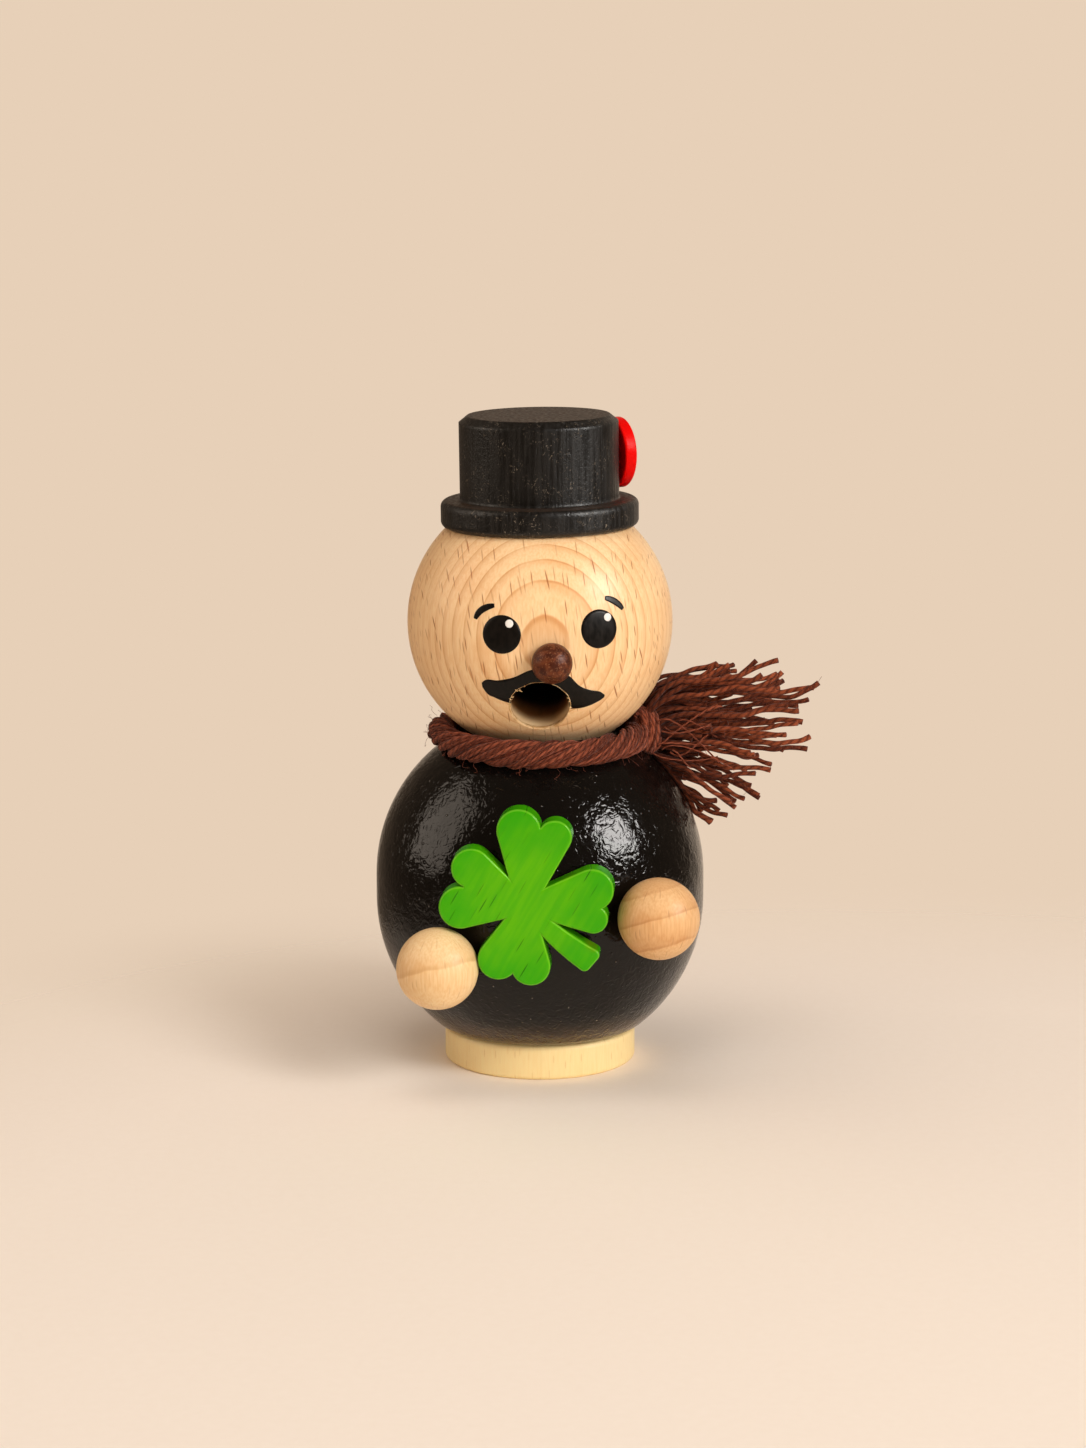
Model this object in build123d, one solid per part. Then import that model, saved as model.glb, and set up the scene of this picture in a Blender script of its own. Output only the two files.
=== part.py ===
from build123d import *
import math
import os

# Turned wooden incense smoker, a round figure with a top hat, a scarf and a four-leaf clover.
# Driving dimensions are in millimetres and degrees. The figure faces -Y and +X is the viewer's right.
# The origin is the middle of the foot's underside. Azimuths run from the front towards +X.

# Foot disc and the plug that the figure sits on
FOOT_RADIUS = 17.5
FOOT_HEIGHT = 6.5
FOOT_TOP_ROUNDING = 1.3
FOOT_BOTTOM_ROUNDING = 0.8
PLUG_RADIUS = 12.0
PLUG_HEIGHT = 6.0
PLUG_CHAMFER = 0.8
PLUG_CLEARANCE = 0.15

# Dish that carries the incense cone, and its nail
PLATE_INSET = 1.2
PLATE_THICKNESS = 0.5
PLATE_RIM_HEIGHT = 1.6
NAIL_RADIUS = 0.8
NAIL_LENGTH = 8.0
NAIL_HEAD_RADIUS = 2.0
NAIL_HEAD_THICKNESS = 0.6

# Fits: play round a glued dowel, room past its end, glue line, and rest gap of lifting pieces
DOWEL_PLAY = 0.05
DOWEL_END_ROOM = 0.3
GLUE_LINE = 0.05
REST_GAP = 0.05

# Body ball: two round halves with a short upright belt between them, and a rounded edge on the foot
BODY_RADIUS = 30.0
BELT_HEIGHT = 4.2
UNDERSIDE_RADIUS = 18.2
UNDERSIDE_ROUNDING = 4.0
CHAMBER_DEPTH = 39.0
CHAMBER_CONE_HEIGHT = 5.0
FLUE_RADIUS = 5.0
AIR_HOLE_RADIUS = 3.0
AIR_HOLE_HEIGHT = 12.0

# Neck, where two flats meet round a hollow dowel
NECK_RADIUS = 13.4
SLEEVE_RADIUS = 7.5
SLEEVE_IN_BODY = 7.5
SLEEVE_IN_HEAD = 4.8

# Head ball with its mouth
HEAD_RADIUS = 24.0
MOUTH_RADIUS = 5.2
MOUTH_LATITUDE = -30.5
MOUTH_SLOPE = 15.0

# Nose bead and its peg
NOSE_RADIUS = 3.6
NOSE_AZIMUTH = 4.6
NOSE_LATITUDE = -7.1
NOSE_SINK = 1.05
NOSE_PEG_RADIUS = 1.2
NOSE_PEG_IN_HEAD = 4.5
NOSE_PEG_IN_NOSE = 2.6

# Top hat, leaning a little on the flat of the head
HAT_SEAT_RADIUS = 16.6
HAT_LEAN = 0.8
BRIM_RADIUS = 17.85
BRIM_THICKNESS = 4.9
BRIM_ROUNDING = 1.2
CROWN_RADIUS = 14.35
CROWN_HEIGHT = 15.1
CROWN_FOOT_ROUNDING = 0.4
CROWN_BEVEL_WIDTH = 1.5
CROWN_BEVEL_HEIGHT = 1.2
HAT_DOWEL_RADIUS = 3.0
HAT_DOWEL_IN_HEAD = 7.0
HAT_DOWEL_IN_HAT = 8.0

# Red disc on the crown, on a spot cut flat for it
DISC_RADIUS = 6.4
DISC_THICKNESS = 2.3
DISC_ROUNDING = 0.4
DISC_AZIMUTH = 115.0
DISC_RISE = -0.2
DISC_SPOT_DEPTH = 0.1
DISC_SPOT_MARGIN = 0.2

# Hand balls and their dowels, placed by a drop from the top of the body's belt
HAND_RADIUS = 7.25
HAND_SINK = 0.75
HAND_DOWEL_RADIUS = 1.5
HAND_DOWEL_IN_BODY = 5.5
HAND_DOWEL_IN_HAND = 4.5
RIGHT_HAND_AZIMUTH = -30.0
RIGHT_HAND_DROP = 9.0
LEFT_HAND_AZIMUTH = 34.9
LEFT_HAND_DROP = 1.35

# Clover plate and its stem
CLOVER_AZIMUTH = -4.4
CLOVER_RISE = 1.9
CLOVER_THICKNESS = 4.0
CLOVER_ROUNDING = 0.5
CLOVER_HUB_RADIUS = 1.5
STEM_ANGLE = -40.0
STEM_LENGTH = 15.8
STEM_ROOT_WIDTH = 2.6
STEM_TIP_WIDTH = 4.8
STEM_SAG = 0.6
STEM_TIP_ROUNDING = 1.1

# Clover leaves: direction, reach of the two lobes, half of their spread, and the lobes' radii
TOP_LEAF_ANGLE = 81.0
TOP_LEAF_REACH = 13.0
TOP_LEAF_HALF_SPREAD = 3.2
TOP_LEAF_LEFT_LOBE_RADIUS = 3.9
TOP_LEAF_RIGHT_LOBE_RADIUS = 3.0
RIGHT_LEAF_ANGLE = 2.0
RIGHT_LEAF_REACH = 11.8
RIGHT_LEAF_HALF_SPREAD = 2.6
RIGHT_LEAF_UPPER_LOBE_RADIUS = 3.8
RIGHT_LEAF_LOWER_LOBE_RADIUS = 2.6
BOTTOM_LEAF_ANGLE = -100.5
BOTTOM_LEAF_REACH = 10.5
BOTTOM_LEAF_HALF_SPREAD = 2.9
BOTTOM_LEAF_RIGHT_LOBE_RADIUS = 3.5
BOTTOM_LEAF_LEFT_LOBE_RADIUS = 3.6
LEFT_LEAF_ANGLE = 164.0
LEFT_LEAF_REACH = 10.8
LEFT_LEAF_HALF_SPREAD = 3.65
LEFT_LEAF_LOWER_LOBE_RADIUS = 3.8
LEFT_LEAF_UPPER_LOBE_RADIUS = 3.6
CLOVER_DOWEL_RADIUS = 1.5
CLOVER_DOWEL_IN_BODY = 6.0
CLOVER_DOWEL_IN_CLOVER = 2.2

# Scarf cord round the neck, the wrap that ties it, and its frayed ends
ROPE_RADIUS = 2.95
ROPE_CLEARANCE = 0.1
LOOP_RADIUS = 18.0
LOOP_FORWARD = 0.8
LOOP_RISE = 0.2
LOOP_TILT = 2.5
LOOP_GAP_ANGLE = 20.0
KNOT_AZIMUTH = 92.0
KNOT_INSET = 1.0
KNOT_LENGTH = 4.7
KNOT_RADIUS = 5.4
KNOT_END_RADIUS = 4.7
THROAT_RADIUS = 4.6
THROAT_STUB_LENGTH = 1.5
STRAND_WIDTH = 0.9
STRAND_PITCH = 1.3
STRAND_LENGTH_LONG = 29.0
STRAND_LENGTH_SHORT = 18.5
FAN_TILT = -10.0
FAN_LIFT = 52.0
FAN_SWING = 28.0
FAN_ROLL = 13.0
FAN_PARTING = 0.5
FAN_LONGEST_LIFT = 15.0

# Heights that follow from the driving dimensions
UP = Vector(0, 0, 1)
ON_SEAT = (Align.CENTER, Align.CENTER, Align.MIN)
UNDERSIDE_Z = FOOT_HEIGHT + REST_GAP
BELT_FOOT_Z = UNDERSIDE_Z + math.sqrt(BODY_RADIUS**2 - UNDERSIDE_RADIUS**2)
EQUATOR_Z = BELT_FOOT_Z + BELT_HEIGHT
NECK_Z = EQUATOR_Z + math.sqrt(BODY_RADIUS**2 - NECK_RADIUS**2)
HEAD_BASE_Z = NECK_Z + GLUE_LINE
HEAD_CENTRE = Vector(0, 0, HEAD_BASE_Z + math.sqrt(HEAD_RADIUS**2 - NECK_RADIUS**2))
HAT_SEAT_Z = HEAD_CENTRE.Z + math.sqrt(HEAD_RADIUS**2 - HAT_SEAT_RADIUS**2)
PLUG_TOP_Z = FOOT_HEIGHT + PLUG_HEIGHT
PLATE_Z = PLUG_TOP_Z + REST_GAP
PLATE_RADIUS = PLUG_RADIUS - PLATE_INSET
HAT_HEIGHT = BRIM_THICKNESS + CROWN_HEIGHT


def bearing(azimuth, latitude=0.0):
    """Unit vector at an azimuth from the front towards +X, and a latitude up from level."""
    level = math.cos(math.radians(latitude))
    x = level * math.sin(math.radians(azimuth))
    y = -level * math.cos(math.radians(azimuth))
    return Vector(x, y, math.sin(math.radians(latitude)))


def rod(start, direction, radius, length):
    """Round rod from a point along a direction."""
    return Plane(origin=start, z_dir=direction) * Cylinder(radius, length, align=ON_SEAT)


def dowel(seat, normal, radius, below, above):
    """Dowel through a seat, with its length below and above the seat."""
    return rod(seat - normal * below, normal, radius, below + above)


def dowel_hole(seat, normal, radius, below, above):
    """Hole for a dowel, with play round it and room past both of its ends."""
    room = DOWEL_END_ROOM
    return dowel(seat, normal, radius + DOWEL_PLAY, below + room, above + room)


def round_corner(outline, point, radius):
    """Round the corner of a flat outline that lies at a point."""
    corner = outline.vertices().sort_by_distance(point)[0]
    return fillet(corner, radius)


def turn_on_lathe(outline):
    """Solid of revolution of an outline drawn as radius and height."""
    return revolve(Plane.XZ * outline, Axis.Z)


# Foot and ember dish


def nail_axis_point():
    """Underside of the nail's head, on top of the dish."""
    return Vector(0, 0, PLATE_Z + PLATE_THICKNESS)


def base_foot():
    """Foot disc with its plug, bored for the nail."""
    disc_edge = (FOOT_RADIUS, FOOT_HEIGHT)
    foot_edge = (FOOT_RADIUS, 0)
    outline = make_face(
        Polyline(
            (0, 0),
            foot_edge,
            disc_edge,
            (PLUG_RADIUS, FOOT_HEIGHT),
            (PLUG_RADIUS, PLUG_TOP_Z - PLUG_CHAMFER),
            (PLUG_RADIUS - PLUG_CHAMFER, PLUG_TOP_Z),
            (0, PLUG_TOP_Z),
            close=True,
        )
    )
    outline = round_corner(outline, disc_edge, FOOT_TOP_ROUNDING)
    outline = round_corner(outline, foot_edge, FOOT_BOTTOM_ROUNDING)
    pilot = dowel_hole(nail_axis_point(), UP, NAIL_RADIUS, NAIL_LENGTH, 0)
    return turn_on_lathe(outline) - pilot


def ember_plate():
    """Pressed dish with an upright rim and a hole for the nail."""
    dish = rod((0, 0, PLATE_Z), UP, PLATE_RADIUS, PLATE_THICKNESS + PLATE_RIM_HEIGHT)
    hollow = rod(nail_axis_point(), UP, PLATE_RADIUS - PLATE_THICKNESS, PLATE_RIM_HEIGHT)
    return dish - hollow - dowel_hole(nail_axis_point(), UP, NAIL_RADIUS, NAIL_LENGTH, 0)


def plate_nail():
    """Flat-headed nail through the dish into the plug."""
    shank = dowel(nail_axis_point(), UP, NAIL_RADIUS, NAIL_LENGTH, NAIL_HEAD_THICKNESS)
    head_seat = nail_axis_point() + UP * GLUE_LINE
    return shank + rod(head_seat, UP, NAIL_HEAD_RADIUS, NAIL_HEAD_THICKNESS)


# Body ball


def body_seat(azimuth, drop):
    """Point and outward normal on the body's skin, at a drop below the top of its belt."""
    past_belt = drop - min(max(drop, 0.0), BELT_HEIGHT)
    latitude = math.degrees(math.asin(-past_belt / BODY_RADIUS))
    centre = UP * (EQUATOR_Z - drop + past_belt)
    normal = bearing(azimuth, latitude)
    return centre + normal * BODY_RADIUS, normal


def body_blank(grow=0.0):
    """Body ball without its bores, with its skin moved outwards by grow."""
    top = NECK_Z + grow
    bottom = UNDERSIDE_Z - grow
    radius = BODY_RADIUS + grow
    dome_sweep = math.degrees(math.asin((top - EQUATOR_Z) / radius))
    bowl_sweep = math.degrees(math.asin((BELT_FOOT_Z - bottom) / radius))
    dome = CenterArc((0, EQUATOR_Z), radius, 0, dome_sweep)
    bowl = CenterArc((0, BELT_FOOT_Z), radius, 0, -bowl_sweep)
    belt = Line(dome @ 0, bowl @ 0)
    core = Polyline(bowl @ 1, (0, bottom), (0, top), dome @ 1)
    outline = round_corner(make_face([dome, belt, bowl, core]), bowl @ 1, UNDERSIDE_ROUNDING + grow)
    return turn_on_lathe(outline)


def chamber():
    """Bore for the plug and the incense cone, closing to the flue."""
    bore_radius = PLUG_RADIUS + PLUG_CLEARANCE
    floor = Vector(0, 0, UNDERSIDE_Z)
    cone_place = Pos(0, 0, UNDERSIDE_Z + CHAMBER_DEPTH)
    cone = cone_place * Cone(bore_radius, FLUE_RADIUS, CHAMBER_CONE_HEIGHT, align=ON_SEAT)
    return rod(floor, UP, bore_radius, CHAMBER_DEPTH) + cone


def neck_socket():
    """Room for the hollow dowel that joins body and head."""
    return dowel_hole(Vector(0, 0, HEAD_BASE_Z), UP, SLEEVE_RADIUS, SLEEVE_IN_BODY, SLEEVE_IN_HEAD)


def body_ball():
    """Hollow body with its flue, air hole at the back and dowel holes."""
    flue = rod((0, 0, UNDERSIDE_Z + CHAMBER_DEPTH), UP, FLUE_RADIUS, BODY_RADIUS)
    air_seat = Vector(0, 0, UNDERSIDE_Z + AIR_HOLE_HEIGHT)
    air_hole = rod(air_seat, bearing(180), AIR_HOLE_RADIUS, BODY_RADIUS)
    ball = body_blank() - chamber() - flue - neck_socket() - air_hole
    for seat, normal in (right_hand_seat(), left_hand_seat()):
        ball -= dowel_hole(seat, normal, HAND_DOWEL_RADIUS, HAND_DOWEL_IN_BODY, HAND_DOWEL_IN_HAND)
    return ball - clover_dowel_hole()


def neck_sleeve():
    """Hollow dowel that holds the head and leads the smoke up into it."""
    seat = Vector(0, 0, HEAD_BASE_Z)
    outside = dowel(seat, UP, SLEEVE_RADIUS, SLEEVE_IN_BODY, SLEEVE_IN_HEAD)
    return outside - dowel(seat, UP, FLUE_RADIUS, SLEEVE_IN_BODY, SLEEVE_IN_HEAD)


# Head, nose and hat


def hat_seat():
    """Plane of the flat that the hat sits on, leaning about the front-to-back axis."""
    lean = math.radians(HAT_LEAN)
    x_dir = Vector(math.cos(lean), 0, math.sin(lean))
    z_dir = Vector(-math.sin(lean), 0, math.cos(lean))
    return Plane(origin=(0, 0, HAT_SEAT_Z), x_dir=x_dir, z_dir=z_dir)


def nose_seat():
    """Point and outward normal on the head where the nose sits."""
    normal = bearing(NOSE_AZIMUTH, NOSE_LATITUDE)
    return HEAD_CENTRE + normal * HEAD_RADIUS, normal


def head_blank(grow=0.0):
    """Head as a whole ball, with its skin moved outwards by grow."""
    return Pos(*HEAD_CENTRE) * Sphere(HEAD_RADIUS + grow)


def head_ball():
    """Head between its two flats, with flue, mouth and peg holes."""
    outward = bearing(0, -MOUTH_SLOPE)
    lips = HEAD_CENTRE + bearing(0, MOUTH_LATITUDE) * HEAD_RADIUS
    throat = lips - outward * (lips.Y / outward.Y)
    mouth = rod(throat, outward, MOUTH_RADIUS, HEAD_RADIUS * 2)
    flue = rod((0, 0, NECK_Z), UP, FLUE_RADIUS, throat.Z + MOUTH_RADIUS - NECK_Z)
    nose_point, nose_normal = nose_seat()
    seat = hat_seat()
    ball = split(head_blank(), Plane.XY.offset(HEAD_BASE_Z), keep=Keep.TOP)
    ball = split(ball, seat, keep=Keep.BOTTOM)
    ball = ball - neck_socket() - flue - mouth
    ball -= dowel_hole(nose_point, nose_normal, NOSE_PEG_RADIUS, NOSE_PEG_IN_HEAD, NOSE_PEG_IN_NOSE)
    return ball - dowel_hole(
        seat.origin, seat.z_dir, HAT_DOWEL_RADIUS, HAT_DOWEL_IN_HEAD, HAT_DOWEL_IN_HAT
    )


def nose():
    """Bead hollowed to sit on the head."""
    seat, normal = nose_seat()
    bead = Pos(*(seat + normal * (NOSE_RADIUS - NOSE_SINK))) * Sphere(NOSE_RADIUS)
    hole = dowel_hole(seat, normal, NOSE_PEG_RADIUS, NOSE_PEG_IN_HEAD, NOSE_PEG_IN_NOSE)
    return bead - head_blank(GLUE_LINE) - hole


def nose_peg():
    """Peg from the head into the nose."""
    seat, normal = nose_seat()
    return dowel(seat, normal, NOSE_PEG_RADIUS, NOSE_PEG_IN_HEAD, NOSE_PEG_IN_NOSE)


def disc_spot():
    """Plane of the flat spot on the crown, in the hat's own frame."""
    outward = bearing(DISC_AZIMUTH)
    height = BRIM_THICKNESS + CROWN_HEIGHT / 2 + DISC_RISE
    origin = outward * (CROWN_RADIUS - DISC_SPOT_DEPTH) + UP * height
    return Plane(origin=origin, z_dir=outward)


def top_hat():
    """Hat turned in one piece, with a spot for the disc and a hole for its dowel."""
    brim_top = (BRIM_RADIUS, BRIM_THICKNESS)
    brim_bottom = (BRIM_RADIUS, 0)
    crown_foot = (CROWN_RADIUS, BRIM_THICKNESS)
    outline = make_face(
        Polyline(
            (0, 0),
            brim_bottom,
            brim_top,
            crown_foot,
            (CROWN_RADIUS, HAT_HEIGHT - CROWN_BEVEL_HEIGHT),
            (CROWN_RADIUS - CROWN_BEVEL_WIDTH, HAT_HEIGHT),
            (0, HAT_HEIGHT),
            close=True,
        )
    )
    outline = round_corner(outline, brim_top, BRIM_ROUNDING)
    outline = round_corner(outline, brim_bottom, BRIM_ROUNDING)
    outline = round_corner(outline, crown_foot, CROWN_FOOT_ROUNDING)
    spot_cut = disc_spot() * Cylinder(DISC_RADIUS + DISC_SPOT_MARGIN, CROWN_RADIUS, align=ON_SEAT)
    hole = dowel_hole(Vector(0, 0, 0), UP, HAT_DOWEL_RADIUS, HAT_DOWEL_IN_HEAD, HAT_DOWEL_IN_HAT)
    return hat_seat().offset(GLUE_LINE) * (turn_on_lathe(outline) - spot_cut - hole)


def hat_dowel():
    """Dowel from the head into the hat."""
    seat = hat_seat()
    return dowel(seat.origin, seat.z_dir, HAT_DOWEL_RADIUS, HAT_DOWEL_IN_HEAD, HAT_DOWEL_IN_HAT)


def hat_disc():
    """Flat round disc on the crown's spot."""
    disc = Cylinder(DISC_RADIUS, DISC_THICKNESS, align=ON_SEAT)
    disc = fillet(disc.edges().filter_by(GeomType.CIRCLE), DISC_ROUNDING)
    return hat_seat().offset(GLUE_LINE) * (disc_spot().offset(GLUE_LINE) * disc)


# Hands


def right_hand_seat():
    """Seat of the figure's right hand on the body."""
    return body_seat(RIGHT_HAND_AZIMUTH, RIGHT_HAND_DROP)


def left_hand_seat():
    """Seat of the figure's left hand on the body."""
    return body_seat(LEFT_HAND_AZIMUTH, LEFT_HAND_DROP)


def hand(seat, normal):
    """Ball hollowed to sit on the body."""
    ball = Pos(*(seat + normal * (HAND_RADIUS - HAND_SINK))) * Sphere(HAND_RADIUS)
    hole = dowel_hole(seat, normal, HAND_DOWEL_RADIUS, HAND_DOWEL_IN_BODY, HAND_DOWEL_IN_HAND)
    return ball - body_blank(GLUE_LINE) - hole


def hand_dowel(seat, normal):
    """Dowel from the body into a hand."""
    return dowel(seat, normal, HAND_DOWEL_RADIUS, HAND_DOWEL_IN_BODY, HAND_DOWEL_IN_HAND)


# Clover


def clover_plane():
    """Plane of the clover's back, touching the body along its belt."""
    outward = bearing(CLOVER_AZIMUTH)
    origin = outward * (BODY_RADIUS + GLUE_LINE) + UP * (EQUATOR_Z + CLOVER_RISE)
    return Plane(origin=origin, x_dir=bearing(CLOVER_AZIMUTH + 90), z_dir=outward)


def clover_leaf(angle, reach, half_spread, ahead_radius, behind_radius):
    """Heart-shaped leaf, as two lobes each drawn to the hub, ahead of its direction and behind it."""
    hub = Circle(CLOVER_HUB_RADIUS)
    ahead = Pos(reach, half_spread) * Circle(ahead_radius)
    behind = Pos(reach, -half_spread) * Circle(behind_radius)
    leaf = make_hull(ahead.edges() + hub.edges()) + make_hull(behind.edges() + hub.edges())
    return Rot(0, 0, angle) * leaf


def top_leaf():
    """Leaf above the hub."""
    return clover_leaf(
        TOP_LEAF_ANGLE,
        TOP_LEAF_REACH,
        TOP_LEAF_HALF_SPREAD,
        TOP_LEAF_LEFT_LOBE_RADIUS,
        TOP_LEAF_RIGHT_LOBE_RADIUS,
    )


def right_leaf():
    """Leaf to the viewer's right of the hub."""
    return clover_leaf(
        RIGHT_LEAF_ANGLE,
        RIGHT_LEAF_REACH,
        RIGHT_LEAF_HALF_SPREAD,
        RIGHT_LEAF_UPPER_LOBE_RADIUS,
        RIGHT_LEAF_LOWER_LOBE_RADIUS,
    )


def bottom_leaf():
    """Leaf below the hub."""
    return clover_leaf(
        BOTTOM_LEAF_ANGLE,
        BOTTOM_LEAF_REACH,
        BOTTOM_LEAF_HALF_SPREAD,
        BOTTOM_LEAF_RIGHT_LOBE_RADIUS,
        BOTTOM_LEAF_LEFT_LOBE_RADIUS,
    )


def left_leaf():
    """Leaf to the viewer's left of the hub."""
    return clover_leaf(
        LEFT_LEAF_ANGLE,
        LEFT_LEAF_REACH,
        LEFT_LEAF_HALF_SPREAD,
        LEFT_LEAF_LOWER_LOBE_RADIUS,
        LEFT_LEAF_UPPER_LOBE_RADIUS,
    )


def clover_stem():
    """Stem that widens and bends from the hub to its rounded tip."""
    root = STEM_ROOT_WIDTH / 2
    tip = STEM_TIP_WIDTH / 2
    middle = (root + tip) / 2
    half_way = STEM_LENGTH / 2
    upper_tip = (STEM_LENGTH, tip)
    lower_tip = (STEM_LENGTH, -tip)
    upper_side = ThreePointArc((0, root), (half_way, middle - STEM_SAG), upper_tip)
    lower_side = ThreePointArc((0, -root), (half_way, -middle - STEM_SAG), lower_tip)
    ends = [Line(upper_tip, lower_tip), Line((0, root), (0, -root))]
    stem = make_face([upper_side, lower_side] + ends)
    stem = round_corner(stem, upper_tip, STEM_TIP_ROUNDING)
    stem = round_corner(stem, lower_tip, STEM_TIP_ROUNDING)
    return Rot(0, 0, STEM_ANGLE) * stem


def clover():
    """Clover plate with rounded front edges."""
    outline = clover_stem() + top_leaf() + right_leaf() + bottom_leaf() + left_leaf()
    plate = extrude(outline, CLOVER_THICKNESS)
    plate = fillet(plate.faces().sort_by(Axis.Z)[-1].edges(), CLOVER_ROUNDING)
    return clover_plane() * plate - clover_dowel_hole()


def clover_dowel_seat():
    """Point where the clover touches the body, and its normal."""
    normal = bearing(CLOVER_AZIMUTH)
    return normal * BODY_RADIUS + UP * EQUATOR_Z, normal


def clover_dowel_hole():
    """Hole for the dowel in body and clover."""
    seat, normal = clover_dowel_seat()
    return dowel_hole(seat, normal, CLOVER_DOWEL_RADIUS, CLOVER_DOWEL_IN_BODY, CLOVER_DOWEL_IN_CLOVER)


def clover_dowel():
    """Dowel from the body into the clover."""
    seat, normal = clover_dowel_seat()
    return dowel(seat, normal, CLOVER_DOWEL_RADIUS, CLOVER_DOWEL_IN_BODY, CLOVER_DOWEL_IN_CLOVER)


# Scarf


def loop_plane():
    """Plane of the cord's loop, sunk a little towards the front."""
    centre = Vector(0, -LOOP_FORWARD, NECK_Z + LOOP_RISE)
    return Plane(origin=centre, x_dir=(1, 0, 0), z_dir=bearing(0, 90 - LOOP_TILT))


def knot_plane():
    """Plane of the wrap's inner end, square to the way the frayed ends leave."""
    outward = bearing(KNOT_AZIMUTH)
    origin = loop_plane().origin + outward * (LOOP_RADIUS - KNOT_INSET)
    return Plane(origin=origin, x_dir=bearing(KNOT_AZIMUTH + 90), z_dir=outward)


def knot_blank(grow=0.0):
    """Barrel of the wrap, with its skin moved outwards by grow."""
    length = KNOT_LENGTH + 2 * grow
    end = KNOT_END_RADIUS + grow
    bulge = ThreePointArc((end, 0), (KNOT_RADIUS + grow, length / 2), (end, length))
    core = Polyline(bulge @ 1, (0, length), (0, 0), bulge @ 0)
    return knot_plane().offset(-grow) * turn_on_lathe(make_face([bulge, core]))


def clear_of_balls(soft_piece):
    """Soft piece pressed clear of the head and the body."""
    return soft_piece - head_blank(ROPE_CLEARANCE) - body_blank(ROPE_CLEARANCE)


def scarf_rope():
    """Cord round the neck, open where the wrap ties it."""
    sweep = 360 - LOOP_GAP_ANGLE
    start = Rot(0, 0, KNOT_AZIMUTH - 90 + LOOP_GAP_ANGLE / 2)
    ring = loop_plane() * start * Torus(LOOP_RADIUS, ROPE_RADIUS, major_angle=sweep, align=None)
    return clear_of_balls(ring - knot_blank(ROPE_CLEARANCE))


def scarf_knot():
    """Wrap that ties the two ends of the cord."""
    return clear_of_balls(knot_blank())


def throat_plane():
    """Plane where the frayed ends leave the wrap, with its X axis back and its Y axis up."""
    return knot_plane().offset(KNOT_LENGTH + ROPE_CLEARANCE)


def strand_roots():
    """Roots of the strands in the throat, in rows half a step either side of the rolled middle."""
    row_step = STRAND_PITCH * math.sqrt(3) / 2
    reach = THROAT_RADIUS - STRAND_WIDTH / 2
    rows = int(reach / row_step + 0.5)
    columns = int(reach / STRAND_PITCH) + 1
    roots = []
    for row in range(-rows, rows):
        across = (row + 0.5) * row_step + math.copysign(FAN_PARTING / 2, row + 0.5)
        for column in range(-columns, columns + 1):
            along = (column + 0.5 * (row % 2)) * STRAND_PITCH
            if math.hypot(along, across) <= reach:
                roots.append((along, across))
    return roots


def strand(along, across):
    """One strand, spread by where its root lies, and longest near the fan's upper middle."""
    rooted = Vector(along, across, THROAT_STUB_LENGTH / 2).rotate(Axis.Z, FAN_ROLL)
    lift = FAN_TILT + FAN_LIFT * rooted.Y / THROAT_RADIUS
    swing = KNOT_AZIMUTH + FAN_SWING * rooted.X / THROAT_RADIUS
    fullness = max(0.0, math.cos(math.radians(2 * (lift - FAN_LONGEST_LIFT))))
    length = STRAND_LENGTH_SHORT + (STRAND_LENGTH_LONG - STRAND_LENGTH_SHORT) * fullness
    root = throat_plane().from_local_coords(rooted)
    line = Plane(origin=root, x_dir=bearing(swing + 90), z_dir=bearing(swing, lift))
    return line * Rot(0, 0, FAN_ROLL) * Box(STRAND_WIDTH, STRAND_WIDTH, length, align=ON_SEAT)


def scarf_end(side):
    """Half of the frayed tuft, above (1) or below (-1) the throat's rolled middle."""
    throat = throat_plane()
    stub = throat * Cylinder(THROAT_RADIUS, THROAT_STUB_LENGTH, align=ON_SEAT)
    rolled = Plane(throat.location * Rot(0, 0, FAN_ROLL))
    parting = Plane(origin=rolled.origin, z_dir=rolled.y_dir * side)
    stub = split(stub, parting.offset(ROPE_CLEARANCE), keep=Keep.TOP)
    strands = [strand(along, across) for along, across in strand_roots() if across * side > 0]
    return clear_of_balls(stub.fuse(*strands))


def pieces():
    """Every piece of the figure by name."""
    right_seat = right_hand_seat()
    left_seat = left_hand_seat()
    return {
        "base_foot": base_foot(),
        "ember_plate": ember_plate(),
        "plate_nail": plate_nail(),
        "body_ball": body_ball(),
        "neck_sleeve": neck_sleeve(),
        "head_ball": head_ball(),
        "nose": nose(),
        "nose_peg": nose_peg(),
        "top_hat": top_hat(),
        "hat_dowel": hat_dowel(),
        "hat_disc": hat_disc(),
        "right_hand": hand(*right_seat),
        "right_hand_dowel": hand_dowel(*right_seat),
        "left_hand": hand(*left_seat),
        "left_hand_dowel": hand_dowel(*left_seat),
        "clover": clover(),
        "clover_dowel": clover_dowel(),
        "scarf_rope": scarf_rope(),
        "scarf_knot": scarf_knot(),
        "scarf_end_upper": scarf_end(1),
        "scarf_end_lower": scarf_end(-1),
    }


def main():
    """Write one file for each piece."""
    os.makedirs("parts", exist_ok=True)
    for name, solid in pieces().items():
        export_step(solid, f"parts/{name}.step")


main()
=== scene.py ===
import math
import random

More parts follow.
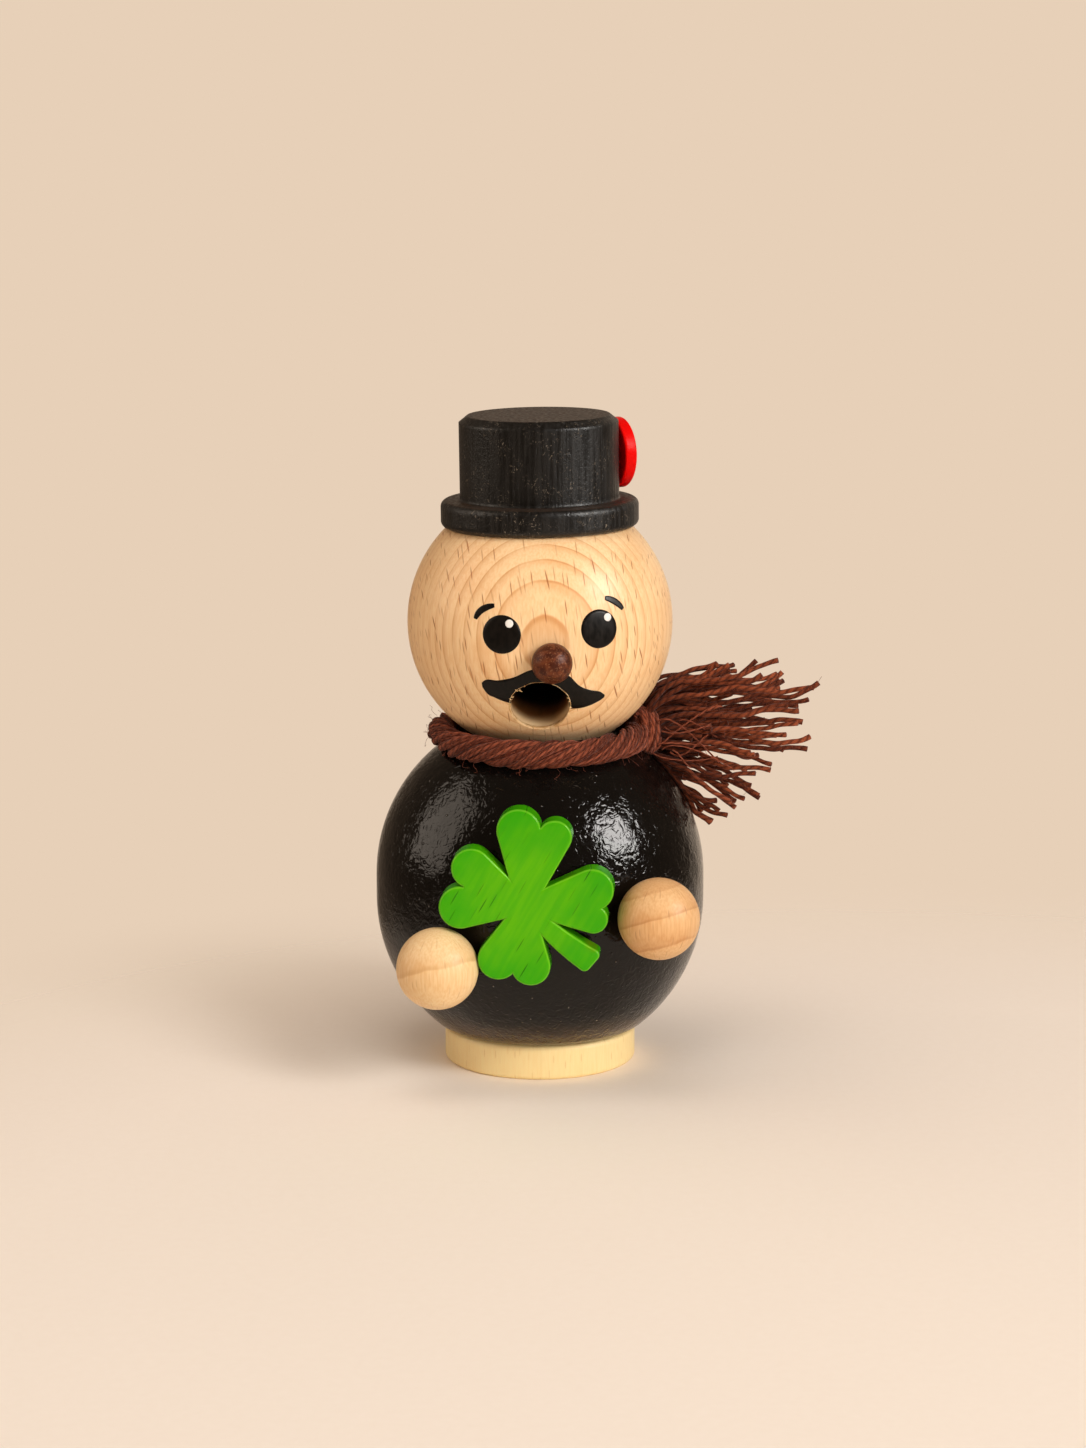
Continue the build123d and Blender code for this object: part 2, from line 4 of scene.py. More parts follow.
import bpy
import numpy as np
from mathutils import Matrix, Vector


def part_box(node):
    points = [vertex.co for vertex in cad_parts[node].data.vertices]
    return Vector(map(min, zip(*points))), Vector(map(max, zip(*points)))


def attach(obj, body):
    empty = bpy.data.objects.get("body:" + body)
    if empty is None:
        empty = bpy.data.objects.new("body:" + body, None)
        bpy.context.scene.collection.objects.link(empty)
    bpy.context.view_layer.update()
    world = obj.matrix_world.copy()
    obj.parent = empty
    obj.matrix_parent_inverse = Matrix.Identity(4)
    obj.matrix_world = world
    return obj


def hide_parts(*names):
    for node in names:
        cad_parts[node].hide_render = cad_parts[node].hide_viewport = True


# Looks of a turned wooden incense smoker. Shapes are worked out in millimetres in the frame of the
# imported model, and become metres when a mesh is made. Azimuths run from the front (-Y) towards +X.

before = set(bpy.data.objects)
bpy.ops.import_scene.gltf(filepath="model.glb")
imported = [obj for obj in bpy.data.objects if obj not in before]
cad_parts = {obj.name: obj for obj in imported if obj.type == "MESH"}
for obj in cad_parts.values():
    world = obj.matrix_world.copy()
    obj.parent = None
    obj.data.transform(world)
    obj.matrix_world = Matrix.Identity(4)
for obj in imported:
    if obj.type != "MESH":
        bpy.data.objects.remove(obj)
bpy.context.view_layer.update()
MM = 0.001
UP = np.array((0.0, 0.0, 1.0))
SIDE = np.array((1.0, 0.0, 0.0))

# Places read from the frame


def node_points(name):
    """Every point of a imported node, in millimetres."""
    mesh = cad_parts[name].data
    flat = np.zeros(len(mesh.vertices) * 3, np.float32)
    mesh.vertices.foreach_get("co", flat)
    return flat.reshape(-1, 3).astype(float) / MM


def node_box(name):
    """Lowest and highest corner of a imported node, in millimetres."""
    low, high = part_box(name)
    return np.array(low) / MM, np.array(high) / MM


def ball_behind_flat(name, flat_is_below):
    """Centre and radius of a ball on the common axis, from its width and the flat that cuts it."""
    points = node_points(name)
    radius = np.hypot(points[:, 0], points[:, 1]).max()
    flat_z = points[:, 2].min() if flat_is_below else points[:, 2].max()
    on_flat = np.abs(points[:, 2] - flat_z) < 0.01
    flat_radius = np.hypot(points[on_flat, 0], points[on_flat, 1]).max()
    rise = math.sqrt(radius**2 - flat_radius**2)
    return UP * (flat_z + rise if flat_is_below else flat_z - rise), radius


HEAD_CENTRE, HEAD_RADIUS = ball_behind_flat("head_ball", True)
BODY_CENTRE, BODY_RADIUS = ball_behind_flat("body_ball", False)
NECK_Z = node_box("body_ball")[1][2]


def bearing(azimuth, latitude=0.0):
    """Unit vector at an azimuth from the front towards +X, and a latitude up from level, in degrees."""
    level = math.cos(math.radians(latitude))
    x = level * math.sin(math.radians(azimuth))
    y = -level * math.cos(math.radians(azimuth))
    return np.array((x, y, math.sin(math.radians(latitude))))


def on_head(azimuth, latitude, lift=0.0):
    """Point on the head's skin, or lifted off it."""
    return HEAD_CENTRE + bearing(azimuth, latitude) * (HEAD_RADIUS + lift)


# Meshes


def put(name, data):
    """New object in the scene."""
    made = bpy.data.objects.new(name, data)
    bpy.context.scene.collection.objects.link(made)
    return made


def add_piece(name, points, faces, material, replaces=()):
    """New smooth mesh piece that moves with the figure."""
    mesh = bpy.data.meshes.new(name)
    mesh.from_pydata((np.asarray(points) * MM).tolist(), [], faces)
    mesh.shade_smooth()
    mesh.materials.append(material)
    piece = put(name, mesh)
    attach(piece, "figure")
    if replaces:
        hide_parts(*replaces)
    return piece


def directions(path):
    """Unit tangents along a path."""
    steps = np.gradient(path, axis=0)
    return steps / np.linalg.norm(steps, axis=1, keepdims=True)


def ring_frames(path):
    """Two unit normals at each point of a path, carried along it without turning."""
    tangents = directions(path)
    start = np.cross(tangents[0], UP if abs(tangents[0][2]) < 0.9 else SIDE)
    normals = [start / np.linalg.norm(start)]
    for tangent in tangents[1:]:
        carried = normals[-1] - tangent * np.dot(normals[-1], tangent)
        normals.append(carried / np.linalg.norm(carried))
    normals = np.array(normals)
    return normals, np.cross(tangents, normals)


class Tubes:
    """Round tubes gathered into one mesh. Its UV map holds the length in millimetres and the turn."""

    def __init__(self):
        self.points = []
        self.faces = []
        self.uvs = []
        self.tints = []
        self.count = 0

    def add(self, path, radii, sides, tint):
        """Tube along a path, closed at both ends, with a tint from 0 to 1 for its colour."""
        path = np.asarray(path, float)
        steps = len(path)
        radii = np.broadcast_to(radii, steps)
        normals, binormals = ring_frames(path)
        turns = np.linspace(0, math.tau, sides, endpoint=False)
        across = np.cos(turns)[None, :, None] * normals[:, None, :]
        across = across + np.sin(turns)[None, :, None] * binormals[:, None, :]
        rings = path[:, None, :] + across * radii[:, None, None]
        lengths = runs_along(path)
        first = self.count
        for i in range(steps - 1):
            for j in range(sides):
                k = (j + 1) % sides
                low, high = first + i * sides, first + (i + 1) * sides
                self.faces.append((low + j, low + k, high + k, high + j))
                left, right = j / sides, (j + 1) / sides
                near, far = lengths[i], lengths[i + 1]
                self.uvs.extend(((near, left), (near, right), (far, right), (far, left)))
        last = first + (steps - 1) * sides
        centre = first + steps * sides
        for j in range(sides):
            k = (j + 1) % sides
            self.faces.append((centre, first + k, first + j))
            self.faces.append((centre + 1, last + j, last + k))
            self.uvs.extend([(0.0, j / sides)] * 3)
            self.uvs.extend([(lengths[-1], j / sides)] * 3)
        self.points.extend((rings.reshape(-1, 3), path[:1], path[-1:]))
        self.count += steps * sides + 2
        self.tints.extend([tint] * (steps * sides + 2))

    def press_clear(self, gap):
        """Move points that lie in the head or the body out to their skin."""
        self.points = [clear_of_balls(np.concatenate(self.points), gap)]

    def build(self, name, material, replaces=()):
        """Make the piece."""
        points = np.concatenate(self.points)
        piece = add_piece(name, points, self.faces, material, replaces)
        layer = piece.data.uv_layers.new(name="yarn")
        layer.data.foreach_set("uv", np.array(self.uvs, np.float32).ravel())
        tint = piece.data.attributes.new("tint", "FLOAT", "POINT")
        tint.data.foreach_set("value", np.array(self.tints, np.float32))


def out_of_ball(points, centre, radius):
    """Points with those inside a ball moved straight out to its skin."""
    offsets = points - centre
    reach = np.linalg.norm(offsets, axis=1, keepdims=True)
    return np.where(reach < radius, centre + offsets * (radius / reach), points)


def clear_of_balls(points, gap):
    """Points kept a gap off the head and the body."""
    points = out_of_ball(points, HEAD_CENTRE, HEAD_RADIUS + gap)
    return out_of_ball(points, BODY_CENTRE, BODY_RADIUS + gap)


def runs_along(path):
    """Length along a path at each of its points."""
    gaps = np.linalg.norm(np.diff(path, axis=0), axis=1)
    return np.concatenate(([0.0], np.cumsum(gaps)))


def bow(start, handle, end, steps):
    """Points along a curve with one handle."""
    t = np.linspace(0, 1, steps)[:, None]
    return (1 - t) ** 2 * start + 2 * t * (1 - t) * handle + t**2 * end


def bezier(start, start_handle, end_handle, end, steps):
    """Points along a curve with two handles."""
    t = np.linspace(0, 1, steps)[:, None]
    u = 1 - t
    return u**3 * start + 3 * u**2 * t * start_handle + 3 * u * t**2 * end_handle + t**3 * end


# Materials


def tone(red, green, blue):
    """Colour from display values of 0 to 255."""
    linear = [((c / 255 + 0.055) / 1.055) ** 2.4 for c in (red, green, blue)]
    return (*linear, 1.0)


class Graph:
    """A node tree, with short calls for the nodes used here."""

    def __init__(self, tree):
        self.tree = tree

    def feed(self, socket, value):
        """Link a socket, or set its value."""
        if isinstance(value, bpy.types.NodeSocket):
            self.tree.links.new(value, socket)
        else:
            socket.default_value = value

    def add(self, kind, inputs=(), **settings):
        """New shader node of a kind, with its inputs fed."""
        made = self.tree.nodes.new("ShaderNode" + kind)
        for key, value in settings.items():
            setattr(made, key, value)
        for key, value in dict(inputs).items():
            self.feed(made.inputs[key], value)
        return made

    def math(self, operation, first, second=0.0):
        """Result of an operation on one or two numbers."""
        return self.add("Math", {0: first, 1: second}, operation=operation).outputs[0]

    def plus(self, first, second):
        """Sum of two numbers."""
        return self.math("ADD", first, second)

    def minus(self, first, second):
        """First number less the second."""
        return self.math("SUBTRACT", first, second)

    def times(self, first, second):
        """Product of two numbers."""
        return self.math("MULTIPLY", first, second)

    def about(self, vector, middle):
        """Vector measured from a middle."""
        return self.add("VectorMath", {0: vector, 1: middle}, operation="SUBTRACT").outputs[0]

    def stretch(self, vector, shares):
        """Vector with each coordinate times its share."""
        return self.add("VectorMath", {0: vector, 1: shares}, operation="MULTIPLY").outputs[0]

    def length(self, vector):
        """Length of a vector."""
        return self.add("VectorMath", {0: vector}, operation="LENGTH").outputs["Value"]

    def noise(self, vector, scale, detail=2.0, distortion=0.0):
        """Soft noise from 0 to 1."""
        inputs = {"Vector": vector, "Scale": scale, "Detail": detail, "Distortion": distortion}
        return self.add("TexNoise", inputs).outputs["Fac"]

    def ramp(self, value, low, high, first=0.0, last=1.0):
        """Smooth step from low to high, giving first to last."""
        inputs = {"Value": value, "From Min": low, "From Max": high, "To Min": first, "To Max": last}
        return self.add("MapRange", inputs, interpolation_type="SMOOTHSTEP").outputs[0]

    def blend(self, share, first, second):
        """Colour between two colours."""
        made = self.add("Mix", {0: share, 6: first, 7: second}, data_type="RGBA")
        return made.outputs[2]

    def cells(self, vector, scale=1.0, dimensions="3D"):
        """Distance to the nearest cell's middle, and a random number for the cell."""
        inputs = {"Vector": vector, "Scale": scale}
        made = self.add("TexVoronoi", inputs, voronoi_dimensions=dimensions)
        picked = self.add("SeparateColor", {0: made.outputs["Color"]})
        return made.outputs["Distance"], picked.outputs[0]

    def parts(self, vector):
        """The three coordinates of a vector."""
        return self.add("SeparateXYZ", {0: vector}).outputs

    def place(self, centre=(0.0, 0.0, 0.0), turn=(0.0, 0.0, 0.0)):
        """Coordinates in millimetres about a centre, turned by angles in degrees."""
        source = self.add("TexCoord").outputs["Object"]
        moved = self.about(source, tuple(MM * c for c in centre))
        inputs = {"Vector": moved, "Scale": (1 / MM,) * 3, "Rotation": tuple(map(math.radians, turn))}
        return self.add("Mapping", inputs).outputs[0]


class Skin(Graph):
    """A material's nodes round its Principled shader."""

    def __init__(self, name):
        self.material = bpy.data.materials.new(name)
        self.material.use_nodes = True
        super().__init__(self.material.node_tree)
        self.shader = self.tree.nodes["Principled BSDF"]

    def bump(self, height, depth, edge=0.0):
        """Bump of a depth in millimetres, over edges that look rounded by a radius."""
        inputs = {"Height": height, "Distance": depth * MM, "Strength": 1.0}
        if edge:
            inputs["Normal"] = self.add("Bevel", {"Radius": edge * MM}, samples=8).outputs[0]
        self.feed(self.shader.inputs["Normal"], self.add("Bump", inputs).outputs[0])

    def finish(self, **sockets):
        """Feed the shader's sockets, whose names have underscores for blanks."""
        for key, value in sockets.items():
            self.feed(self.shader.inputs[key.replace("_", " ")], value)
        return self.material

    def coat(self, colour, pattern, smooth, rough, level):
        """Finish with a colour, a roughness that follows a pattern, and a specular level."""
        roughness = self.ramp(pattern, 0.3, 0.7, smooth, rough)
        return self.finish(Base_Color=colour, Roughness=roughness, Specular_IOR_Level=level)


# How far rings sway and where a year is darkest, as shares of the gap between rings
RING_SWAY = 0.4
RING_DARKEST = 0.94


def ring_phase(ring_gap, reach):
    """Phase that lays a year's dark line at a distance from the pith."""
    return RING_DARKEST * ring_gap - reach


class Wood(Skin):
    """Turned wood: growth rings about a distant pith, fibres, and dashes on its skin."""

    def __init__(self, name, centre, radius, turn, pith, ring_gap, phase):
        super().__init__(name)
        self.centre = centre
        self.radius = radius
        place = self.place(centre, turn)
        sway = self.noise(self.stretch(place, (0.09, 0.09, 0.05)), 1.0, 3.0)
        across = self.stretch(self.about(place, (0.0, -pith, 0.0)), (1.0, 1.0, 0.0))
        reach = self.plus(self.length(across), self.times(sway, ring_gap * RING_SWAY))
        reach = self.plus(reach, phase - ring_gap * RING_SWAY / 2)
        year = self.math("FRACT", self.math("DIVIDE", reach, ring_gap))
        late = self.plus(self.ramp(year, 0.4, 0.93, 0.0, 0.55), self.ramp(year, 0.84, 0.93, 0.0, 0.45))
        strength = self.ramp(self.noise(place, 0.13, 2.0), 0.3, 0.6, 0.4, 1.0)
        rings = self.times(late, self.ramp(year, 0.95, 1.0, 1.0, 0.0))
        self.rings = self.times(rings, strength)
        self.fibres = self.noise(self.stretch(self.place(centre), (1.0, 1.0, 0.1)), 2.8, 3.0)
        self.blotches = self.noise(place, 0.11, 2.0)
        self.flecks = self.dashes(self.round_axis(), size=(1.3, 0.2), low=0.1, high=0.2, share=0.4)

    def round_axis(self):
        """Distance round the upright axis, and height, in millimetres."""
        x, y, z = self.parts(self.place(self.centre))
        around = self.times(self.math("ARCTAN2", x, self.times(y, -1.0)), self.radius)
        return self.add("CombineXYZ", {0: around, 1: z}).outputs[0]

    def over_ball(self, lean):
        """Distance sideways and upwards over a ball's skin in millimetres, leaned by an angle."""
        x, y, z = self.parts(self.place(self.centre, (0.0, lean, 0.0)))
        sideways = self.math("ARCSINE", self.math("DIVIDE", x, self.radius))
        upwards = self.math("ARCTAN2", z, self.times(y, -1.0))
        level = self.add("CombineXYZ", {0: sideways, 1: upwards}).outputs[0]
        return self.stretch(level, (self.radius, self.radius, 0.0))

    def dashes(self, level, size, low, high, share):
        """Upright dashes in a share of the cells. Size is cells to a millimetre, sideways and upwards."""
        away, pick = self.cells(self.stretch(level, (*size, 0.0)), 1.0, "2D")
        chosen = self.math("LESS_THAN", pick, share)
        strength = self.times(chosen, self.ramp(pick, 0.0, share, 1.0, 0.3))
        return self.times(self.ramp(away, low, high, 1.0, 0.0), strength)

    def colour(self, colours, ring_share, dash_share):
        """Grain colour from four display colours and the strength of the rings and dashes."""
        light, dark, late, dash = (tone(*c) for c in colours)
        mottle = self.ramp(self.blotches, 0.3, 0.75, 0.0, 0.45)
        mottle = self.plus(self.ramp(self.fibres, 0.32, 0.7, 0.0, 0.55), mottle)
        base = self.blend(mottle, light, dark)
        ringed = self.blend(self.times(self.rings, ring_share), base, late)
        return self.blend(self.times(self.flecks, dash_share), ringed, dash)

    def height(self):
        """Relief of fibres and dashes."""
        return self.minus(self.fibres, self.times(self.flecks, 0.2))


HEAD_TURN = (0.0, 0.0, -3.0)
HEAD_PITH = 85.0
HEAD_RING_GAP = 2.0
FIRST_RING_DEPTH = 0.46


def beech_head():
    """Lacquered beech, raw inside the mouth, with painted shade that darkens it with depth into the bore.
    """
    phase = ring_phase(HEAD_RING_GAP, HEAD_PITH - HEAD_RADIUS + FIRST_RING_DEPTH)
    wood = Wood("beech_head", HEAD_CENTRE, HEAD_RADIUS, HEAD_TURN, HEAD_PITH, HEAD_RING_GAP, phase)
    flecks = wood.dashes(wood.over_ball(lean=8.0), size=(1.3, 0.1), low=0.09, high=0.19, share=0.55)
    streaks = wood.dashes(wood.over_ball(lean=14.0), size=(0.55, 0.045), low=0.05, high=0.11, share=0.6)
    wood.flecks = wood.math("MAXIMUM", flecks, streaks)
    place = wood.place(HEAD_CENTRE)
    above_skin = wood.minus(wood.length(place), HEAD_RADIUS)
    front = wood.ramp(wood.parts(place)[1], -HEAD_RADIUS * 0.82, -HEAD_RADIUS * 0.45, 1.0, 0.5)
    wood.rings = wood.times(wood.rings, front)
    lacquered = wood.colour(
        ((250, 215, 167), (240, 192, 138), (208, 138, 74), (172, 98, 46)), ring_share=0.74, dash_share=0.88)
    inside = wood.ramp(above_skin, -0.5, -0.15, 1.0, 0.0)
    # Painted shade inside the mouth: the raw wood goes from pale at the rim through tan to near black
    # deeper in the bore.
    bore_shade_depth = wood.plus(above_skin, wood.times(wood.blotches, 3.0))
    raw = wood.blend(wood.ramp(bore_shade_depth, -3.6, 0.2), tone(134, 86, 44), tone(238, 204, 156))
    raw = wood.blend(wood.ramp(bore_shade_depth, -8.0, -1.4), tone(12, 5, 2), raw)
    wood.bump(wood.height(), depth=0.025)
    return wood.finish(
        Base_Color=wood.blend(inside, lacquered, raw),
        Roughness=wood.ramp(inside, 0.0, 1.0, 0.36, 0.75),
        Specular_IOR_Level=0.28,
    )


def plain_wood(name, node, turn, pith, ring_gap, colours, ring_share, dash_share, phase=0.0, edge=0.0):
    """Satin wood of a hand, the foot or a dowel."""
    low, high = node_box(node)
    wood = Wood(name, (low + high) / 2, (high[0] - low[0]) / 2, turn, pith, ring_gap, phase)
    wood.bump(wood.height(), depth=0.02, edge=edge)
    colour = wood.colour(colours, ring_share, dash_share)
    return wood.coat(colour, wood.fibres, smooth=0.38, rough=0.5, level=0.28)


def torn_edge():
    """Raw pale wood of the mouth's rim."""
    skin = Skin("mouth_edge")
    place = skin.place()
    patches = skin.noise(place, 1.1, 3.0)
    skin.bump(skin.noise(place, 5.0, 2.0), depth=0.04)
    colour = skin.blend(skin.ramp(patches, 0.35, 0.65), tone(250, 218, 168), tone(214, 164, 106))
    return skin.coat(colour, patches, smooth=0.6, rough=0.75, level=0.2)


def lacquer_black():
    """Glossy black lacquer with brush bumps, thin and brown along the lower edge."""
    skin = Skin("lacquer_black")
    place = skin.place()
    ripples = skin.noise(place, 0.68, 1.8, 1.4)
    swells = skin.noise(place, 0.16, 1.5)
    pits, pick = skin.cells(place, 0.6)
    specks = skin.times(skin.ramp(pits, 0.04, 0.09, 1.0, 0.0), skin.math("LESS_THAN", pick, 0.2))
    height = skin.parts(place)[2]
    low_edge = node_box("body_ball")[0][2]
    worn = skin.plus(height, skin.times(ripples, 3.0))
    thin = skin.ramp(worn, low_edge + 2.0, low_edge + 8.0, 1.0, 0.0)
    paint = skin.blend(ripples, tone(7, 6, 5), tone(13, 10, 8))
    paint = skin.blend(thin, paint, tone(66, 46, 28))
    paint = skin.blend(specks, paint, tone(120, 112, 104))
    relief = skin.plus(ripples, skin.times(swells, 1.8))
    relief = skin.plus(relief, skin.ramp(pits, 0.06, 0.16, 0.35, 0.0))
    skin.bump(relief, depth=0.14)
    return skin.coat(paint, ripples, smooth=0.06, rough=0.15, level=0.3)


def painted_hat():
    """Black paint over turned wood, whose upright grain shows through."""
    skin = Skin("painted_hat")
    place = skin.place()
    streaks = skin.noise(skin.stretch(place, (1.0, 1.0, 0.05)), 1.5, 3.0)
    speckle = skin.noise(place, 1.9, 2.0, 0.8)
    away, pick = skin.cells(skin.stretch(place, (1.2, 1.2, 0.2)))
    pores = skin.times(skin.ramp(away, 0.1, 0.24, 1.0, 0.0), skin.math("LESS_THAN", pick, 0.6))
    crumbs = skin.ramp(skin.noise(place, 2.0, 2.0, 1.5), 0.62, 0.7)
    rubbed = skin.times(crumbs, skin.ramp(skin.noise(place, 0.22, 1.0), 0.42, 0.58))
    paint = skin.blend(skin.ramp(streaks, 0.42, 0.66), tone(4, 3, 2), tone(15, 12, 9))
    paint = skin.blend(skin.times(pores, 0.5), paint, tone(3, 2, 2))
    paint = skin.blend(skin.times(rubbed, 0.75), paint, tone(120, 108, 94))
    facing = skin.parts(skin.add("NewGeometry").outputs["Normal"])[2]
    rings = skin.noise(skin.stretch(place, (0.9, 0.25, 0.9)), 1.0, 2.0)
    top = skin.blend(rings, tone(56, 38, 23), tone(20, 13, 8))
    above = skin.ramp(facing, 0.8, 0.95)
    paint = skin.blend(above, paint, top)
    relief = skin.plus(streaks, skin.times(speckle, 0.75))
    relief = skin.minus(relief, skin.times(pores, 0.6))
    skin.bump(relief, depth=0.09, edge=0.7)
    gloss = skin.ramp(streaks, 0.35, 0.65, 0.34, 0.54)
    return skin.finish(
        Base_Color=paint,
        Roughness=skin.plus(gloss, skin.times(above, 0.1)),
        Specular_IOR_Level=0.5,
    )


# Worn spots of the clover, as x and z
CLOVER_WEAR = ((4.6, 43.2), (9.4, 30.0))


def stained_green():
    """Green stain on sanded wood, darker outwards, with slanting grain, dark dashes, worn spots near the
    edges and a painted highlight along the rounded front edges.
    """
    skin = Skin("stained_green")
    low, high = node_box("clover")
    middle = (low + high) / 2
    place = skin.place(middle, (0.0, -30.0, 0.0))
    grain = skin.noise(skin.stretch(place, (1.0, 1.0, 0.08)), 1.0, 3.0)
    cloud = skin.noise(place, 0.2, 2.0)
    across, _, along = skin.parts(place)
    level = skin.add("CombineXYZ", {0: across, 1: along}).outputs[0]
    away, pick = skin.cells(skin.stretch(level, (1.0, 0.06, 0.0)), 1.0, "2D")
    dashes = skin.times(skin.ramp(away, 0.05, 0.12, 1.0, 0.0), skin.ramp(pick, 0.0, 0.7, 1.0, 0.0))
    reach = skin.plus(skin.length(skin.place(middle)), skin.times(cloud, 14.0))
    colour = skin.blend(skin.ramp(grain, 0.35, 0.65), tone(91, 178, 0), tone(76, 170, 0))
    colour = skin.blend(skin.ramp(reach, 11.0, 26.0, 0.0, 0.85), colour, tone(44, 158, 0))
    colour = skin.blend(skin.times(dashes, 0.8), colour, tone(22, 84, 0))
    for x, z in CLOVER_WEAR:
        beside = skin.length(skin.stretch(skin.place((x, high[1], z)), (1.0, 0.0, 1.0)))
        worn = skin.times(skin.ramp(beside, 0.4, 2.0, 1.0, 0.0), skin.ramp(grain, 0.3, 0.6, 0.2, 0.7))
        colour = skin.blend(worn, colour, tone(120, 128, 16))
    # Painted highlight: the rounded front edges are paled towards light lime.
    facing = skin.times(skin.parts(skin.add("TexCoord").outputs["Normal"])[1], -1.0)
    edge_highlight = skin.times(skin.ramp(facing, 0.25, 0.5), skin.ramp(facing, 0.85, 0.97, 1.0, 0.0))
    colour = skin.blend(skin.times(edge_highlight, 0.2), colour, tone(170, 226, 70))
    skin.bump(skin.minus(grain, dashes), depth=0.025)
    return skin.coat(colour, grain, smooth=0.16, rough=0.26, level=0.14)


def stained_nose():
    """Brown stain, mottled and rubbed lighter in spots."""
    skin = Skin("stained_nose")
    place = skin.place()
    mottle = skin.noise(place, 0.8, 4.0, 0.5)
    grains = skin.noise(place, 3.2, 3.0)
    colour = skin.blend(skin.ramp(mottle, 0.35, 0.65), tone(66, 26, 11), tone(106, 52, 26))
    colour = skin.blend(skin.ramp(grains, 0.56, 0.68, 0.0, 0.6), colour, tone(150, 98, 66))
    skin.bump(skin.plus(grains, mottle), depth=0.07)
    return skin.coat(colour, grains, smooth=0.3, rough=0.5, level=0.22)


def painted_red():
    """Glossy red paint on the disc."""
    skin = Skin("painted_red")
    place = skin.place()
    cloud = skin.noise(place, 0.5, 3.0)
    skin.bump(skin.noise(place, 1.2, 2.0), depth=0.03)
    colour = skin.blend(cloud, tone(234, 9, 4), tone(220, 6, 3))
    return skin.coat(colour, cloud, smooth=0.26, rough=0.4, level=0.06)


def face_paint(name, colour, other):
    """Brushed paint of the face."""
    skin = Skin(name)
    place = skin.place()
    brush = skin.noise(skin.stretch(place, (1.0, 1.0, 0.5)), 1.6, 3.0)
    skin.bump(brush, depth=0.02)
    mixed = skin.blend(skin.ramp(brush, 0.3, 0.7), colour, other)
    return skin.coat(mixed, brush, smooth=0.3, rough=0.45, level=0.18)


def metal(name, light, dark, roughness):
    """Rubbed metal with fine turning marks."""
    skin = Skin(name)
    place = skin.place()
    marks = skin.noise(skin.length(skin.stretch(place, (1.0, 1.0, 0.0))), 9.0, 2.0)
    stains = skin.noise(place, 0.35, 3.0)
    skin.bump(marks, depth=0.01)
    return skin.finish(
        Base_Color=skin.blend(stains, light, dark),
        Roughness=skin.ramp(stains, 0.3, 0.7, roughness, roughness + 0.15),
        Metallic=1.0,
    )


def yarn_material(name, dark, light, painted_root_shade):
    """Reddish brown yarn with the twist of its fibres, with painted shade in the twist's grooves and near
    the start of each yarn, and paler fuzz that is partly a painted sheen.
    """
    skin = Skin(name)
    uv = skin.add("UVMap", uv_map="yarn").outputs[0]
    along, around, _ = skin.parts(uv)
    phase = skin.plus(skin.times(along, 0.6), skin.times(around, 2.0))
    wave = skin.math("SINE", skin.times(phase, math.tau))
    place = skin.place()
    fuzz_and_sheen = skin.noise(place, 5.0, 3.0)
    patches = skin.noise(place, 0.35, 2.0)
    tint = skin.add("Attribute", attribute_name="tint").outputs["Fac"]
    share = skin.plus(skin.times(tint, 0.6), skin.times(patches, 0.4))
    colour = skin.blend(skin.ramp(share, 0.15, 0.8), dark, light)
    # Painted shade: darker in the low part of the twist's wave, the grooves between the fibres.
    colour = skin.blend(skin.ramp(wave, -1.0, 0.4, 0.65, 0.0), colour, tone(46, 16, 9))
    # Paler fuzz of loose fibres, which is also a painted sheen on the yarn.
    colour = skin.blend(skin.ramp(fuzz_and_sheen, 0.54, 0.7, 0.0, 0.4), colour, tone(176, 98, 68))
    # Painted shade near the start of each yarn, where the yarns crowd together at the knot.
    colour = skin.blend(skin.ramp(along, 0.0, 17.0, painted_root_shade, 0.0), colour, tone(40, 13, 6))
    skin.bump(skin.plus(skin.times(wave, 0.5), fuzz_and_sheen), depth=0.06)
    return skin.finish(Base_Color=colour, Roughness=0.85, Specular_IOR_Level=0.1, Sheen_Weight=0.08)


# Face paint

PAINT_LIFT = 0.04
EYE_LIFT = 0.06
GLINT_LIFT = 0.12
# Azimuth and latitude of the spots of paint, and of the start, middle and end of each brow
EYES = {"eye_right": (-16.3, 3.1), "eye_left": (25.9, 4.9)}
EYE_RADIUS = 3.52
EYE_TALL = 0.98
CATCH_LIGHTS = {"glint_right": (-13.0, 7.8), "glint_left": (30.1, 9.5)}
GLINT_RADIUS = 0.72
BROWS = {
    "brow_right": ((-28.5, 8.9), (-25.8, 12.9), (-20.1, 15.1)),
    "brow_left": ((29.9, 17.6), (34.8, 15.7), (38.5, 12.2)),
}
BROW_WIDTH = 1.25
MOUTH_RADIUS = 5.2
# Point on the lips and outward direction of the mouth's bore
LIPS = on_head(0.0, -30.5)
MOUTH_OUT = bearing(0.0, -15.0)
RIM_SIDES = 144
RIM_WIDTH = 0.36
RIM_WAVER = 0.05
RIM_WAVES = (2, 3, 5, 9, 14)
# Torn fibres of the mouth's rim: turn round the mouth in degrees, and length outwards
TORN_FIBRES = (
    (164, 0.5), (156, 0.3), (139, 0.55), (135, -0.6), (121, 0.25), (21, 0.4), (11, 0.25), (-2, 0.45),
)
# Outlines of the moustache: azimuth and latitude on the head
MOUSTACHE_UPPER = (
    (-26.8, -18.9), (-25.6, -17.9), (-18.8, -17.2), (-11.8, -15.5), (-3.9, -11.9), (4.5, -11.0),
    (13.1, -15.0), (17.6, -19.4), (23.3, -22.1), (29.3, -23.7), (31.9, -25.4),
)
MOUSTACHE_LOWER = (
    (-26.8, -21.0), (-25.6, -23.3), (-21.5, -25.8), (-14.5, -28.3), (0.0, -30.0),
    (15.5, -31.4), (21.7, -31.2), (28.2, -29.0), (31.0, -27.4), (31.9, -26.6),
)


